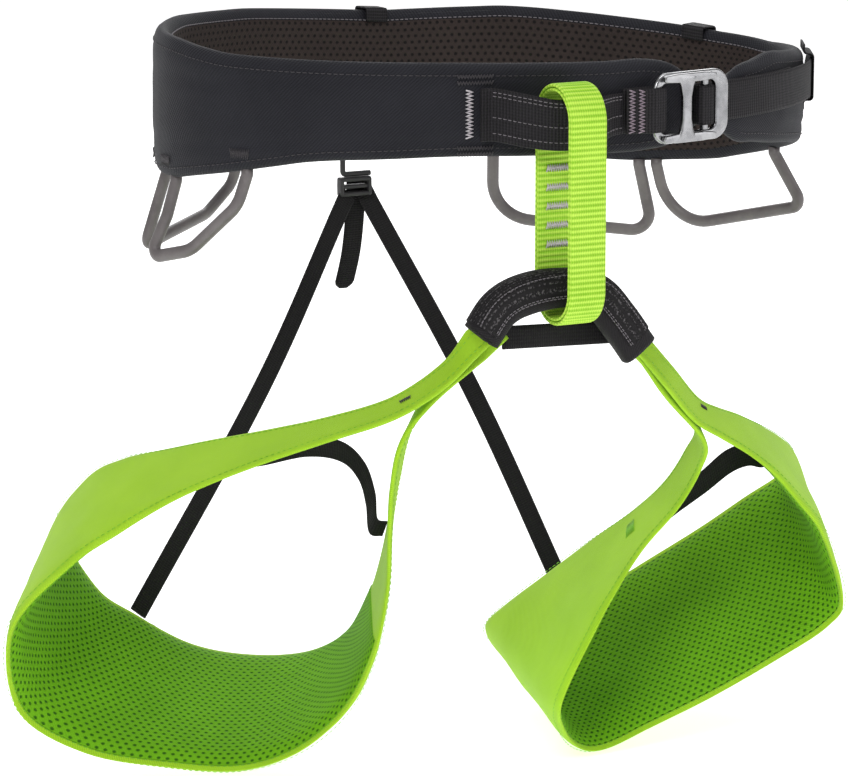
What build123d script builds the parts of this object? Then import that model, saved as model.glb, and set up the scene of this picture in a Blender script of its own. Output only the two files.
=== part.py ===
from build123d import *
import math
import os

# Sport climbing harness, size medium, standing open as if worn.
# Origin: centre of the waist belt on the wearer's centre plane.
# +X is the wearer's left, +Y the wearer's back, +Z up. All sizes are in millimetres.

# ---------------------------------------------------------------- driving sizes

BELT_CENTRE_X = 15
BELT_HALF_WIDTH = 152
BELT_HALF_DEPTH = 105
BELT_STEP = 6

# angle round the belt (0 at the wearer's left, 90 at the back), upper edge, lower edge
BELT_EDGES = [
    (-66, 9, -7),
    (-60, 17, -15),
    (-48, 21, -19),
    (-25, 17, -25),
    (0, 15, -35),
    (20, 17, -43),
    (40, 21, -46),
    (65, 27, -43),
    (90, 27, -38),
    (120, 33, -33),
    (145, 35, -30),
    (180, 33, -27),
    (200, 29, -21),
    (220, 28, -14),
    (245, 27, -12),
    (270, 25, -14),
    (280, 25, -14),
    (286, 20, -11),
    (290, 11, -4),
]
BELT_START = BELT_EDGES[0][0]
BELT_END = BELT_EDGES[-1][0]

# layers of the belt, as offsets from its outer surface
COVER = (-1.0, 0.0)
LOAD_WEBBING = (-2.6, -1.2)
FOAM = (-6.6, -2.8)
LINER = (-8.0, -6.8)
FOAM_TRIM_TOP = 2.0
FOAM_TRIM_BOTTOM = 4.5
LOAD_WEBBING_WIDTH = 22
HEM_OFFSET = -4.7

# layers of a leg loop, as offsets from its outer surface
LEG_COVER = (-0.8, 0.0)
LEG_WEBBING = (-2.1, -0.9)
LEG_FOAM = (-4.6, -1.0)
LEG_MESH = (-5.8, -4.8)
LEG_TRIM = 1.5

BELAY_X = -10
BELAY_WIDTH = 17
BELAY_REAR_Y = -105.8
BELAY_FRONT_Y = -137
BELAY_TOP_Z = 20
BELAY_BOTTOM_Z = -81
BELAY_LAYER = 1.6
BELAY_LAYER_GAP = 0.1

GEAR_TUBE_RADIUS = 2.8
GEAR_TILT = 14
GEAR_END_GAP = 1.8
GEAR_ANCHOR = (2.8, 7, 2.8)
GEAR_ANCHOR_RISE = 0.9
BUCKLE_ANGLE = -75
BUCKLE_WIDTH = 42
BUCKLE_HEIGHT = 30
STRAP_WIDTH = 17
STRAP_CENTRE_Z = 4.5
CLIP_Y = 100
CLIP_WIRE = 2.4
RISER_WIDTH = 9
RISER_THICKNESS = 1.6

parts = {}


# ---------------------------------------------------------------- shape helpers

def interpolate(table, angle):
    """Values of a table at an angle, straight between its rows."""
    for low, high in zip(table, table[1:]):
        if low[0] <= angle <= high[0]:
            share = (angle - low[0]) / (high[0] - low[0])
            return [a + share * (b - a) for a, b in zip(low[1:], high[1:])]
    raise ValueError(angle)


def solid_from_rails(rails):
    """Closed solid with four long sides, each ruled between two neighbouring rails.

    Every rail has the same parameter at the same station, so a ruling joins like to like."""
    steps = [float(i) for i in range(len(rails[0]))]
    edges = [Edge.make_spline(rail, parameters=steps) for rail in rails]
    sides = [Face.make_surface_from_curves(edges[i], edges[(i + 1) % 4]) for i in range(4)]
    for end in (0, -1):
        corners = [rail[end] for rail in rails]
        sides.append(Face(Wire.make_polygon(corners, close=True)))
    return Solid(Shell(sides))


def strip_rails(edge_a, edge_b, layer):
    """Four rails of a layer of a strip, whose edges are edge_a and edge_b.

    The layer is two offsets along the strip's own normal, which is across times along."""
    inner, outer = layer
    rails = [[], [], [], []]
    count = len(edge_a)
    for i in range(count):
        before = max(i - 1, 0)
        after = min(i + 1, count - 1)
        along = (edge_a[after] + edge_b[after]) - (edge_a[before] + edge_b[before])
        across = edge_b[i] - edge_a[i]
        normal = across.cross(along).normalized()
        rails[0].append(edge_a[i] + normal * inner)
        rails[1].append(edge_b[i] + normal * inner)
        rails[2].append(edge_b[i] + normal * outer)
        rails[3].append(edge_a[i] + normal * outer)
    return rails


def strip(edge_a, edge_b, layer):
    return solid_from_rails(strip_rails(edge_a, edge_b, layer))


def straight_strip(start, end, across, thickness):
    """Flat straight webbing between two points, its width along the vector across."""
    half = across * 0.5
    edge_a = [start - half, end - half]
    edge_b = [start + half, end + half]
    return strip(edge_a, edge_b, (-thickness / 2, thickness / 2))


def tube(points, radii, radius):
    """Round bar that follows straight runs joined by arcs."""
    path = FilletPolyline(*points, radius=radii)
    section = Plane(origin=path @ 0, z_dir=path % 0) * Circle(radius)
    return sweep(section, path=path)


def keep(name, shape):
    parts[name] = shape


# ---------------------------------------------------------------- waist belt

def belt_point(angle, offset, height):
    turn = math.radians(angle)
    x = BELT_CENTRE_X + (BELT_HALF_WIDTH + offset) * math.cos(turn)
    y = (BELT_HALF_DEPTH + offset) * math.sin(turn)
    return Vector(x, y, height)


def surface_plane(angle, offset, height):
    """Plane on the belt's surface: x along the belt, y up, z outward."""
    turn = math.radians(angle)
    along = Vector(-BELT_HALF_WIDTH * math.sin(turn), BELT_HALF_DEPTH * math.cos(turn), 0)
    along = along.normalized()
    outward = Vector(along.Y, -along.X, 0)
    return Plane(origin=belt_point(angle, offset, height), x_dir=along, z_dir=outward)


def on_belt(angle, height):
    """Plane for stitching that lies just proud of the belt's cover."""
    return surface_plane(angle, 0.45, height)


def angles_between(start, end, step=BELT_STEP):
    count = max(2, round((end - start) / step))
    return [start + (end - start) * i / count for i in range(count + 1)]


def belt_band(start, end, layer, heights):
    """Band that follows the belt; heights(angle) gives its lower and upper edge."""
    inner, outer = layer
    rails = [[], [], [], []]
    for angle in angles_between(start, end):
        low, high = heights(angle)
        rails[0].append(belt_point(angle, outer, low))
        rails[1].append(belt_point(angle, outer, high))
        rails[2].append(belt_point(angle, inner, high))
        rails[3].append(belt_point(angle, inner, low))
    return solid_from_rails(rails)


def full_height(angle):
    top, bottom = interpolate(BELT_EDGES, angle)
    return bottom, top


def foam_height(angle):
    top, bottom = interpolate(BELT_EDGES, angle)
    return bottom + FOAM_TRIM_BOTTOM, top - FOAM_TRIM_TOP


def load_height(angle):
    top, bottom = interpolate(BELT_EDGES, angle)
    middle = (top + bottom) / 2
    return middle - LOAD_WEBBING_WIDTH / 2, middle + LOAD_WEBBING_WIDTH / 2


def strap_height(angle):
    return STRAP_CENTRE_Z - STRAP_WIDTH / 2, STRAP_CENTRE_Z + STRAP_WIDTH / 2


def make_belt():
    end_gap = 1.5
    keep("belt_cover", belt_band(BELT_START, BELT_END, COVER, full_height))
    keep("belt_foam", belt_band(BELT_START + end_gap, BELT_END - end_gap, FOAM, foam_height))
    keep("belt_mesh_liner", belt_band(BELT_START, BELT_END, LINER, full_height))
    keep("belt_load_webbing", belt_band(-48, 252, LOAD_WEBBING, load_height))


def edge_tab(angle_start, angle_end):
    """Tape folded over the belt's upper edge."""
    inner = LINER[0] - 1.2
    outer = COVER[1] + 0.2
    thickness = 1.0
    drop = 5
    angles = [angle_start, (angle_start + angle_end) / 2, angle_end]

    def leg(offset_in, offset_out, low, high):
        def heights(angle):
            top = full_height(angle)[1]
            return top - low, top + high
        rails = [[], [], [], []]
        for angle in angles:
            bottom, top = heights(angle)
            rails[0].append(belt_point(angle, offset_out, bottom))
            rails[1].append(belt_point(angle, offset_out, top))
            rails[2].append(belt_point(angle, offset_in, top))
            rails[3].append(belt_point(angle, offset_in, bottom))
        return solid_from_rails(rails)

    inside = leg(inner, inner + thickness, drop, 1.4)
    outside = leg(outer, outer + thickness, drop, 1.4)
    bridge = leg(inner, outer + thickness, -0.4, 1.4)
    return inside + outside + bridge


def make_edge_tabs():
    keep("rear_top_tab", edge_tab(89.5, 94))
    keep("side_top_tab", edge_tab(21, 27))


# ---------------------------------------------------------------- gear loops

# end angles on the belt, then corners as (distance along, depth) with their radii
GEAR_LOOPS = {
    "front_right": (178, 204, [(-2, 15), (-9, 33), (18, 31), (44, 13)], [12, 4, 20, 14]),
    "rear_right": (123, 158, [(2, 12), (22, 24), (79, 33)], [8, 16, 4]),
    "rear_left": (68, 38, [(0, 30), (76, 34)], [20, 8]),
    "front_left": (34, -4, [(3, 32), (81, 27)], [20, 5]),
}


def gear_end(angle):
    bottom = full_height(angle)[0]
    return belt_point(angle, HEM_OFFSET, bottom - GEAR_END_GAP)


def make_gear_loops():
    anchors = []
    for name, (start_angle, end_angle, corners, radii) in GEAR_LOOPS.items():
        start = gear_end(start_angle)
        end = gear_end(end_angle)
        along = (end - start).normalized()
        outward = Vector(0, 0, 1).cross(along)
        if outward.dot(start - Vector(BELT_CENTRE_X, 0, 0)) < 0:
            outward = outward * -1
        tilt = math.radians(GEAR_TILT)
        down = Vector(0, 0, -1) * math.cos(tilt) + outward * math.sin(tilt)
        points = [start]
        points += [start + along * s + down * d for s, d in corners]
        points.append(end)
        keep("gear_loop_" + name, tube(points, radii, GEAR_TUBE_RADIUS))
        for point, angle in ((start, start_angle), (end, end_angle)):
            radial = belt_point(angle, 0, 0) - belt_point(angle, -10, 0)
            middle = point + Vector(0, 0, GEAR_END_GAP + GEAR_ANCHOR[2] / 2 + GEAR_ANCHOR_RISE)
            place = Plane(origin=middle, x_dir=radial, z_dir=(0, 0, 1))
            anchors.append(place * Box(*GEAR_ANCHOR))
    keep("gear_loop_anchors", Compound(children=anchors))


# ---------------------------------------------------------------- belay loop and tie-in points

def belay_ring(inset, thickness):
    """Closed band of webbing in the YZ plane; inset is measured in from the outer face."""
    depth = BELAY_REAR_Y - BELAY_FRONT_Y
    height = BELAY_TOP_Z - BELAY_BOTTOM_Z
    centre = ((BELAY_REAR_Y + BELAY_FRONT_Y) / 2, (BELAY_TOP_Z + BELAY_BOTTOM_Z) / 2)
    face = Plane.YZ.offset(BELAY_X - BELAY_WIDTH / 2)

    def outline(shrink):
        return RectangleRounded(depth - 2 * shrink, height - 2 * shrink, depth / 2 - shrink - 0.01)

    ring = outline(inset) - outline(inset + thickness)
    return extrude(face * Pos(*centre) * ring, BELAY_WIDTH)


def make_belay_loop():
    second = BELAY_LAYER + BELAY_LAYER_GAP
    keep("belay_loop_outer_layer", belay_ring(0, BELAY_LAYER))
    keep("belay_loop_inner_layer", belay_ring(second, BELAY_LAYER))
    inner_face = BELAY_REAR_Y - second - BELAY_LAYER
    bar_tacks = []
    for row in range(5):
        height = -17 - 8 * row
        bar_tacks.append(Pos(BELAY_X + 1, inner_face - 0.35, height) * Box(11, 0.5, 3))
    keep("belay_loop_bartacks", Compound(children=bar_tacks))


# tie-in loop at the waist: middle of the webbing, then its lower and upper heights
WAIST_TIE_IN = [
    (-42, -102.6, -5, 17),
    (-36, -104.6, -5, 17),
    (-26, -115, -7, 15),
    (-16, -121.5, -8, 13),
    (-4, -121.5, -8, 13),
    (7, -115, -7, 12),
    (16, -109.5, -5.5, 12),
    (23, -107.8, -5, 12),
]
TIE_IN_THICKNESS = 2.6


def make_waist_tie_in():
    low = [Vector(x, y, bottom) for x, y, bottom, top in WAIST_TIE_IN]
    high = [Vector(x, y, top) for x, y, bottom, top in WAIST_TIE_IN]
    half = TIE_IN_THICKNESS / 2
    keep("waist_tie_in_loop", strip(low, high, (-half, half)))
    light = [on_belt(angle, 6) * Box(3.5, 20, 0.5) for angle in (247, 249.5)]
    keep("waist_bartacks_light", Compound(children=light))
    dark = [on_belt(248, height) * Box(15, 2.4, 0.5) for height in (21.5, -9.5)]
    keep("waist_bartacks_dark", Compound(children=dark))


# padded sleeve of the lower tie-in point: centre line, and across it the sleeve is an oval
SLEEVE_Y = -120
SLEEVE_LINE = [(-51, -83), (-42, -72), (-29, -67), (-10, -66), (3, -70), (13, -80.5), (24, -95)]
SLEEVE_WIDTH = 17
SLEEVE_DEPTH = 10
CORE_WIDTH = 11
CORE_DEPTH = 5


def arch_solid(width, depth, trim, hollow=None):
    """Flattened tube or bar along the sleeve's line, with rounded corners."""
    points = [Vector(x, SLEEVE_Y, z) for x, z in SLEEVE_LINE]
    path = Edge.make_spline(points)
    first = path @ trim
    second = path @ (1 - trim)
    path = path.trim(trim, 1 - trim)

    def section(at, wide, deep):
        tangent = path % at
        place = Plane(origin=path @ at, x_dir=(0, 1, 0), z_dir=tangent)
        radius = min(wide, deep) / 2 - 0.3
        return place * RectangleRounded(deep, wide, radius)

    outer = sweep(section(0, width, depth), path=path)
    if hollow:
        outer = outer - sweep(section(0, hollow[0], hollow[1]), path=path)
    return outer, first, second


def make_leg_tie_in():
    wall = 1.2
    hollow = (SLEEVE_WIDTH - 2 * wall, SLEEVE_DEPTH - 2 * wall)
    keep("tie_in_sleeve", arch_solid(SLEEVE_WIDTH, SLEEVE_DEPTH, 0, hollow)[0])
    keep("tie_in_core_webbing", arch_solid(CORE_WIDTH, CORE_DEPTH, 0.02)[0])
    cross = straight_strip(Vector(-36, SLEEVE_Y + 7.2, -86), Vector(17, SLEEVE_Y + 7.2, -88),
                           Vector(0, 0, 10), 1.6)
    keep("leg_cross_strap", cross)


# ---------------------------------------------------------------- buckle and waist strap

def buckle_plane():
    return surface_plane(BUCKLE_ANGLE, 0, STRAP_CENTRE_Z)


FRAME_Z = 4.6
FRAME_THICKNESS = 3.0
SLIDER_Z = 7.9
SLIDER_THICKNESS = 2.4
OPENING = (-17, 13.5, 10.5)
INNER_BAR = (7, 10, 2.4)


def plate(left, right, bottom, top, base, thickness):
    box = Box(right - left, top - bottom, thickness, align=(Align.MIN, Align.MIN, Align.MIN))
    return Pos(left, bottom, base) * box


def make_buckle():
    place = buckle_plane()
    left, right, half = OPENING
    outline = RectangleRounded(BUCKLE_WIDTH, BUCKLE_HEIGHT, 8)
    window = Pos((left + right) / 2, 0) * RectangleRounded(right - left, 2 * half, 2)
    ring = Pos(0, 0, FRAME_Z) * extrude(outline - window, FRAME_THICKNESS)
    bar = plate(INNER_BAR[0], INNER_BAR[1], -half - 1, half + 1, FRAME_Z, INNER_BAR[2])
    keep("buckle_frame", place * (ring + bar))

    rail_inner = 10.8
    rail_outer = 14.6
    slider = plate(-7, -2, -rail_outer, rail_outer, SLIDER_Z, SLIDER_THICKNESS)
    for low, high in ((rail_inner, rail_outer), (-rail_outer, -rail_inner)):
        slider += plate(-17, 12, low, high, SLIDER_Z, SLIDER_THICKNESS)
    keep("buckle_slider", place * slider)


def folded_webbing(points, hole, width):
    """Webbing seen from its edge as a closed outline, drawn in the plane across the buckle."""
    across = Plane.XZ
    outline = make_face(Polyline(*points, close=True))
    if hole:
        outline = outline - make_face(Polyline(*hole, close=True))
    return extrude(across * outline, width / 2, both=True)


def make_webbing_at_buckle():
    place = buckle_plane()
    outer = [(-31, 0.6), (-20, 1.4), (-14.6, 2.4), (-14.6, 8.8), (-16, 9.6), (-22, 9.4),
             (-31, 4.2)]
    hole = [(-25, 3.2), (-20, 3.0), (-16.2, 3.6), (-16.2, 7.8), (-21.4, 8.0), (-25, 5.6)]
    keep("buckle_anchor_webbing", place * folded_webbing(outer, hole, 20))
    fold = [(14.5, 0.3), (5.4, 0.3), (4.4, 1.3), (4.4, 7.7), (5.4, 8.7), (11.8, 8.7), (12.8, 7.7),
            (12.8, 4.3), (11.4, 4.3), (11.4, 6.9), (10.8, 7.4), (6.4, 7.4), (5.8, 6.9),
            (5.8, 1.6), (14.5, 1.6)]
    keep("waist_strap_fold", place * folded_webbing(fold, None, STRAP_WIDTH))
    keep("waist_strap_standing", belt_band(-69, -42, (0.3, 1.6), strap_height))
    keep("waist_strap_tail", belt_band(-69.5, -14, (2.4, 3.7), strap_height))


def make_strap_keeper():
    """Elastic band over the strap's tail, sewn to the belt above and below it."""
    start, end = -27, -15
    low = STRAP_CENTRE_Z - STRAP_WIDTH / 2 - 1.2
    high = STRAP_CENTRE_Z + STRAP_WIDTH / 2 + 1.2
    wall = 1.2
    front = belt_band(start, end, (4.7, 5.7), lambda angle: (low - wall, high + wall))
    below = belt_band(start, end, (0.1, 4.9), lambda angle: (low - wall, low))
    above = belt_band(start, end, (0.1, 4.9), lambda angle: (high, high + wall))
    keep("strap_keeper", front + below + above)


# ---------------------------------------------------------------- rear clip and risers

HOOK_Z = -36
BAR_Z = -48


def make_rear_clip():
    left, right = -5, 9
    wire = [
        Vector(right, CLIP_Y, -42),
        Vector(right, CLIP_Y, HOOK_Z),
        Vector(left, CLIP_Y, HOOK_Z),
        Vector(left, CLIP_Y, BAR_Z),
        Vector(right, CLIP_Y, BAR_Z),
    ]
    keep("rear_hook", tube(wire, 1.5, CLIP_WIRE / 2))
    lock = Box(16, 5, 9)
    slot = Pos(0, 0, -2) * Box(11, 2, 9)
    keep("riser_lock", Pos(1, CLIP_Y, -53.8) * (lock - slot))


# top, middle and bottom of each riser
RISERS = {
    "right": [(-5, CLIP_Y - 1, -61), (-61, 70, -137), (-139, 35.5, -226)],
    "left": [(9, CLIP_Y + 1, -61), (48, 70, -151), (79, 34, -246)],
}


def make_risers():
    half = RISER_THICKNESS / 2
    for side, route in RISERS.items():
        points = [Vector(*p) for p in route]
        along = (points[-1] - points[0]).normalized()
        across = along.cross(Vector(0, 1, 0)).normalized() * (RISER_WIDTH / 2)
        edge_a = [p - across for p in points]
        edge_b = [p + across for p in points]
        keep("riser_" + side, strip(edge_a, edge_b, (-half, half)))
    tail = [(4, -52), (3, -70), (1, -86), (-3, -102)]
    y = CLIP_Y + 4.2
    edge_a = [Vector(x - 5, y, z) for x, z in tail]
    edge_b = [Vector(x + 5, y, z) for x, z in tail]
    keep("riser_tail", strip(edge_a, edge_b, (-half, half)))


# ---------------------------------------------------------------- leg loops

# Each station is the upper edge then the front edge of the leg loop's outer surface.
# The band starts in the sleeve, goes round the outer thigh, the back and the inner thigh,
# and comes up again behind its own start.
RIGHT_LEG = [
    ((-54, -112, -82), (-47, -116, -90)),
    ((-62, -104, -96), (-66, -113, -105)),
    ((-79, -93, -110), (-85, -107, -116)),
    ((-99, -77, -119), (-107, -94, -125)),
    ((-119, -59, -126), (-132, -80, -135)),
    ((-136, -41, -132), (-153, -70, -144)),
    ((-151, -23, -138), (-171, -64, -152)),
    ((-163, -5, -144), (-189, -57, -163)),
    ((-172, 13, -155), (-209, -50, -177)),
    ((-178, 33, -180), (-230, -36, -206)),
    ((-161, 35, -212), (-223, -27, -245)),
    ((-144, 30, -226), (-196, -36, -265)),
    ((-120, 22, -241), (-164, -51, -272)),
    ((-96, 9, -246), (-137, -67, -273)),
    ((-74, -7, -243), (-116, -81, -264)),
    ((-61, -23, -230), (-99, -92, -246)),
    ((-61, -42, -208), (-88, -97, -222)),
    ((-65, -60, -187), (-82, -98, -194)),
    ((-69, -76, -166), (-81, -98, -170)),
    ((-70, -85, -147), (-82, -102, -148)),
    ((-69, -93, -126), (-80, -107, -128)),
    ((-60, -98, -105), (-66, -107, -113)),
    ((-48, -106, -88), (-43, -110, -95)),
]
LEFT_LEG = [
    ((37, -112, -95), (30, -116, -101)),
    ((52, -104, -108), (43, -113, -114)),
    ((70, -94, -124), (60, -109, -131)),
    ((84, -86, -131), (75, -107, -140)),
    ((102, -76, -138), (90, -106, -149)),
    ((126, -60, -149), (103, -107, -159)),
    ((149, -41, -161), (115, -109, -172)),
    ((165, -23, -173), (130, -107, -190)),
    ((168, -9, -187), (150, -93, -225)),
    ((153, -1, -199), (148, -82, -241)),
    ((134, 7, -213), (126, -72, -257)),
    ((111, 16, -228), (100, -63, -272)),
    ((90, 23, -241), (72, -57, -284)),
    ((65, 32, -254), (50, -52, -293)),
    ((45, 36, -261), (34, -54, -290)),
    ((32, 31, -255), (20, -63, -277)),
    ((29, 20, -243), (11, -76, -258)),
    ((44, -1, -221), (22, -86, -224)),
    ((54, -19, -205), (32, -87, -208)),
    ((66, -45, -184), (48, -84, -191)),
    ((72, -62, -168), (62, -90, -173)),
    ((75, -74, -152), (68, -98, -155)),
    ((73, -85, -139), (65, -105, -142)),
    ((54, -98, -117), (45, -107, -121)),
    ((38, -106, -100), (31, -110, -104)),
]

# first and last station of the padding, and of the webbing inside each end
LEG_LAYOUT = {
    "right": (RIGHT_LEG, 6, 16, 5, 17),
    "left": (LEFT_LEG, 5, 18, 4, 19),
}


LEG_REFINE = 3


def refine(points):
    """Catmull-Rom curve through the points, as LEG_REFINE steps between each two."""
    ends = [points[0] * 2 - points[1]] + points + [points[-1] * 2 - points[-2]]
    curve = []
    for p0, p1, p2, p3 in zip(ends, ends[1:], ends[2:], ends[3:]):
        for step in range(LEG_REFINE):
            t = step / LEG_REFINE
            bend = (p0 * 2 - p1 * 5 + p2 * 4 - p3) * t * t
            twist = (p1 * 3 - p0 - p2 * 3 + p3) * t * t * t
            curve.append((p1 * 2 + (p2 - p0) * t + bend + twist) * 0.5)
    return curve + [points[-1]]


def leg_layer(side, layer, first, last, trim=0.0):
    """One layer of a leg loop between two of its stations, its edges drawn in by trim."""
    stations = LEG_LAYOUT[side][0]
    upper = refine([Vector(*a) for a, b in stations])
    front = refine([Vector(*b) for a, b in stations])
    if side == "right":
        upper, front = front, upper
    inward = [(b - a).normalized() * trim for a, b in zip(upper, front)]
    edge_a = [a + shift for a, shift in zip(upper, inward)]
    edge_b = [b - shift for b, shift in zip(front, inward)]
    rails = strip_rails(edge_a, edge_b, layer)
    return solid_from_rails([rail[first * LEG_REFINE:last * LEG_REFINE + 1] for rail in rails])


def make_leg(side):
    stations, pad_first, pad_last, front_end, rear_start = LEG_LAYOUT[side]
    last = len(stations) - 1
    keep("leg_cover_" + side, leg_layer(side, LEG_COVER, 0, last))
    keep("leg_foam_" + side, leg_layer(side, LEG_FOAM, pad_first, pad_last, LEG_TRIM))
    keep("leg_mesh_" + side, leg_layer(side, LEG_MESH, pad_first, pad_last))
    keep("leg_front_webbing_" + side, leg_layer(side, LEG_WEBBING, 0, front_end, LEG_TRIM))
    keep("leg_rear_webbing_" + side, leg_layer(side, LEG_WEBBING, rear_start, last, LEG_TRIM))


# elastic strap across the inner side of each leg loop: its two edges
ELASTICS = {
    "right": (
        [(-126.3, -50.6, -130.6), (-124, -50, -135), (-105, -60, -131), (-90, -68, -133),
         (-81, -72, -142), (-77, -74, -155), (-77, -76, -166), (-73, -78, -167.7)],
        [(-132.5, -43.5, -133.5), (-122, -42, -146), (-101, -57, -141), (-88, -64, -143),
         (-81, -67, -151), (-78, -68, -162), (-77, -69, -174), (-72.2, -71.5, -175.4)],
    ),
    "left": (
        [(132.6, -51, -160.8), (131, -50, -162), (118, -55, -158), (108, -55, -160),
         (98, -50, -170), (86, -42, -182), (73, -39, -193), (65, -39.2, -190)],
        [(141.2, -45.2, -169.3), (136, -42, -173), (125, -48, -170), (115, -49, -172),
         (105, -44, -181), (94, -37, -191), (78, -32, -203), (62, -31, -197)],
    ),
}
ELASTIC_THICKNESS = 1.4


def make_elastics():
    half = ELASTIC_THICKNESS / 2
    for side, (first, second) in ELASTICS.items():
        edge_a = [Vector(*p) for p in first]
        edge_b = [Vector(*p) for p in second]
        keep("leg_elastic_" + side, strip(edge_a, edge_b, (-half, half)))


make_belt()
make_edge_tabs()
make_gear_loops()
make_belay_loop()
make_waist_tie_in()
make_leg_tie_in()
make_buckle()
make_webbing_at_buckle()
make_strap_keeper()
make_rear_clip()
make_risers()
make_leg("right")
make_leg("left")
make_elastics()

os.makedirs("parts", exist_ok=True)
for name, shape in parts.items():
    export_step(shape, f"parts/{name}.step")
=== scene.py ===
import math

import bpy
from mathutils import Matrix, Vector, noise


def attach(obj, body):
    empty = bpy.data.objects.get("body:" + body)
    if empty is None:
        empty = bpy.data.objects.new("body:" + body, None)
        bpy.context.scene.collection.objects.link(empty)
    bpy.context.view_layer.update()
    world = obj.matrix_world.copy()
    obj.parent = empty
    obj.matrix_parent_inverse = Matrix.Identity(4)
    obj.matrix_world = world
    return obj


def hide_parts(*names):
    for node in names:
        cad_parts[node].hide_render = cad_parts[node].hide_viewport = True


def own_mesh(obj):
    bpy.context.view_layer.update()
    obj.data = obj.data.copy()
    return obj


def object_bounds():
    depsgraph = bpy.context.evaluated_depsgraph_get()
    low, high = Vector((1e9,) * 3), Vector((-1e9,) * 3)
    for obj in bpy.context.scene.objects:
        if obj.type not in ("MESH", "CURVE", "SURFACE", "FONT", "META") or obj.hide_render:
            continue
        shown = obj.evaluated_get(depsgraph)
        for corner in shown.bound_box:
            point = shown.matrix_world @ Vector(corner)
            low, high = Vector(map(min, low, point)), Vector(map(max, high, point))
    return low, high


# Climbing harness: the looks of every piece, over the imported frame.
# Shapes are worked out in millimetres in the row frame and turned into metres as meshes are made.

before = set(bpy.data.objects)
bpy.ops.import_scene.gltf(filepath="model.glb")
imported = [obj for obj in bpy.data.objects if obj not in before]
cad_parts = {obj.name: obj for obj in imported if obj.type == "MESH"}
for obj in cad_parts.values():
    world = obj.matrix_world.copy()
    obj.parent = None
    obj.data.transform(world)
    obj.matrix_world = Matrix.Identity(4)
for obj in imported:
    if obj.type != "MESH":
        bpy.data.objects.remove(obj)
cad_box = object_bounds()
MM = 0.001
CLOTH = "cloth"

# ---------------------------------------------------------------- sizes shared with the frame

BELT_CENTRE_X = 15
BELT_HALF_WIDTH = 152
BELT_HALF_DEPTH = 105
BELT_STATION = 6
# angle round the belt (0 at the wearer's left, 90 at the back), upper edge, lower edge
BELT_EDGES = [
    (-66, 9, -7),
    (-60, 17, -15),
    (-48, 21, -19),
    (-25, 17, -25),
    (0, 15, -35),
    (20, 17, -43),
    (40, 21, -46),
    (65, 27, -43),
    (90, 27, -38),
    (120, 33, -33),
    (145, 35, -30),
    (180, 33, -27),
    (200, 29, -21),
    (220, 28, -14),
    (245, 27, -12),
    (270, 25, -14),
    (280, 25, -14),
    (286, 20, -11),
    (290, 11, -4),
]
BELT_START = BELT_EDGES[0][0]
BELT_END = BELT_EDGES[-1][0]
BELT_DEPTH = 8.0
LOAD_START = -48
LOAD_END = 252
LOAD_HALF_WIDTH = 11.5

BELAY_X = -10
BELAY_WIDTH = 17
BELAY_REAR_Y = -105.8
BELAY_FRONT_Y = -137
BELAY_TOP_Z = 20
BELAY_BOTTOM_Z = -81
BELAY_LAYER = 1.6
RIB_PITCH = 2.3

STRAP_WIDTH = 17
STRAP_Z = 4.5
BUCKLE_ANGLE = -75
HEM_OFFSET = -4.7
GEAR_END_GAP = 1.8
GEAR_RADIUS = 2.8
GEAR_TILT = 14
CLIP_Y = 100

# end angles on the belt, then corners as (distance along, depth) with their radii
GEAR_LOOPS = {
    "front_right": (178, 204, [(-2, 15), (-9, 33), (18, 31), (44, 13)], [12, 4, 20, 14]),
    "rear_right": (123, 158, [(2, 12), (22, 24), (79, 33)], [8, 16, 4]),
    "rear_left": (68, 38, [(0, 30), (76, 34)], [20, 8]),
    "front_left": (34, -4, [(3, 32), (81, 27)], [20, 5]),
}

# tie-in loop at the waist: middle of the webbing, then its lower and upper heights
WAIST_TIE_IN = [
    (-42, -102.6, -5, 17),
    (-36, -104.6, -5, 17),
    (-26, -115, -7, 15),
    (-16, -121.5, -8, 13),
    (-4, -121.5, -8, 13),
    (7, -115, -7, 12),
    (16, -109.5, -5.5, 12),
    (23, -107.8, -5, 12),
]

SLEEVE_Y = -120
SLEEVE_LINE = [(-51, -83), (-42, -72), (-29, -67), (-10, -66), (3, -70), (13, -80.5), (24, -95)]
SLEEVE_WIDTH = 17
SLEEVE_DEPTH = 10

# Stations of the leg loops: upper edge then front edge of the outer surface. The band starts
# in the sleeve, goes round the outer thigh, the back and the inner thigh, and comes up again.
RIGHT_LEG = [
    ((-54, -112, -82), (-47, -116, -90)),
    ((-62, -104, -96), (-66, -113, -105)),
    ((-79, -93, -110), (-85, -107, -116)),
    ((-99, -77, -119), (-107, -94, -125)),
    ((-119, -59, -126), (-132, -80, -135)),
    ((-136, -41, -132), (-153, -70, -144)),
    ((-151, -23, -138), (-171, -64, -152)),
    ((-163, -5, -144), (-189, -57, -163)),
    ((-172, 13, -155), (-209, -50, -177)),
    ((-178, 33, -180), (-230, -36, -206)),
    ((-161, 35, -212), (-223, -27, -245)),
    ((-144, 30, -226), (-196, -36, -265)),
    ((-120, 22, -241), (-164, -51, -272)),
    ((-96, 9, -246), (-137, -67, -273)),
    ((-74, -7, -243), (-116, -81, -264)),
    ((-61, -23, -230), (-99, -92, -246)),
    ((-61, -42, -208), (-88, -97, -222)),
    ((-65, -60, -187), (-82, -98, -194)),
    ((-69, -76, -166), (-81, -98, -170)),
    ((-70, -85, -147), (-82, -102, -148)),
    ((-69, -93, -126), (-80, -107, -128)),
    ((-60, -98, -105), (-66, -107, -113)),
    ((-48, -106, -88), (-43, -110, -95)),
]
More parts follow.
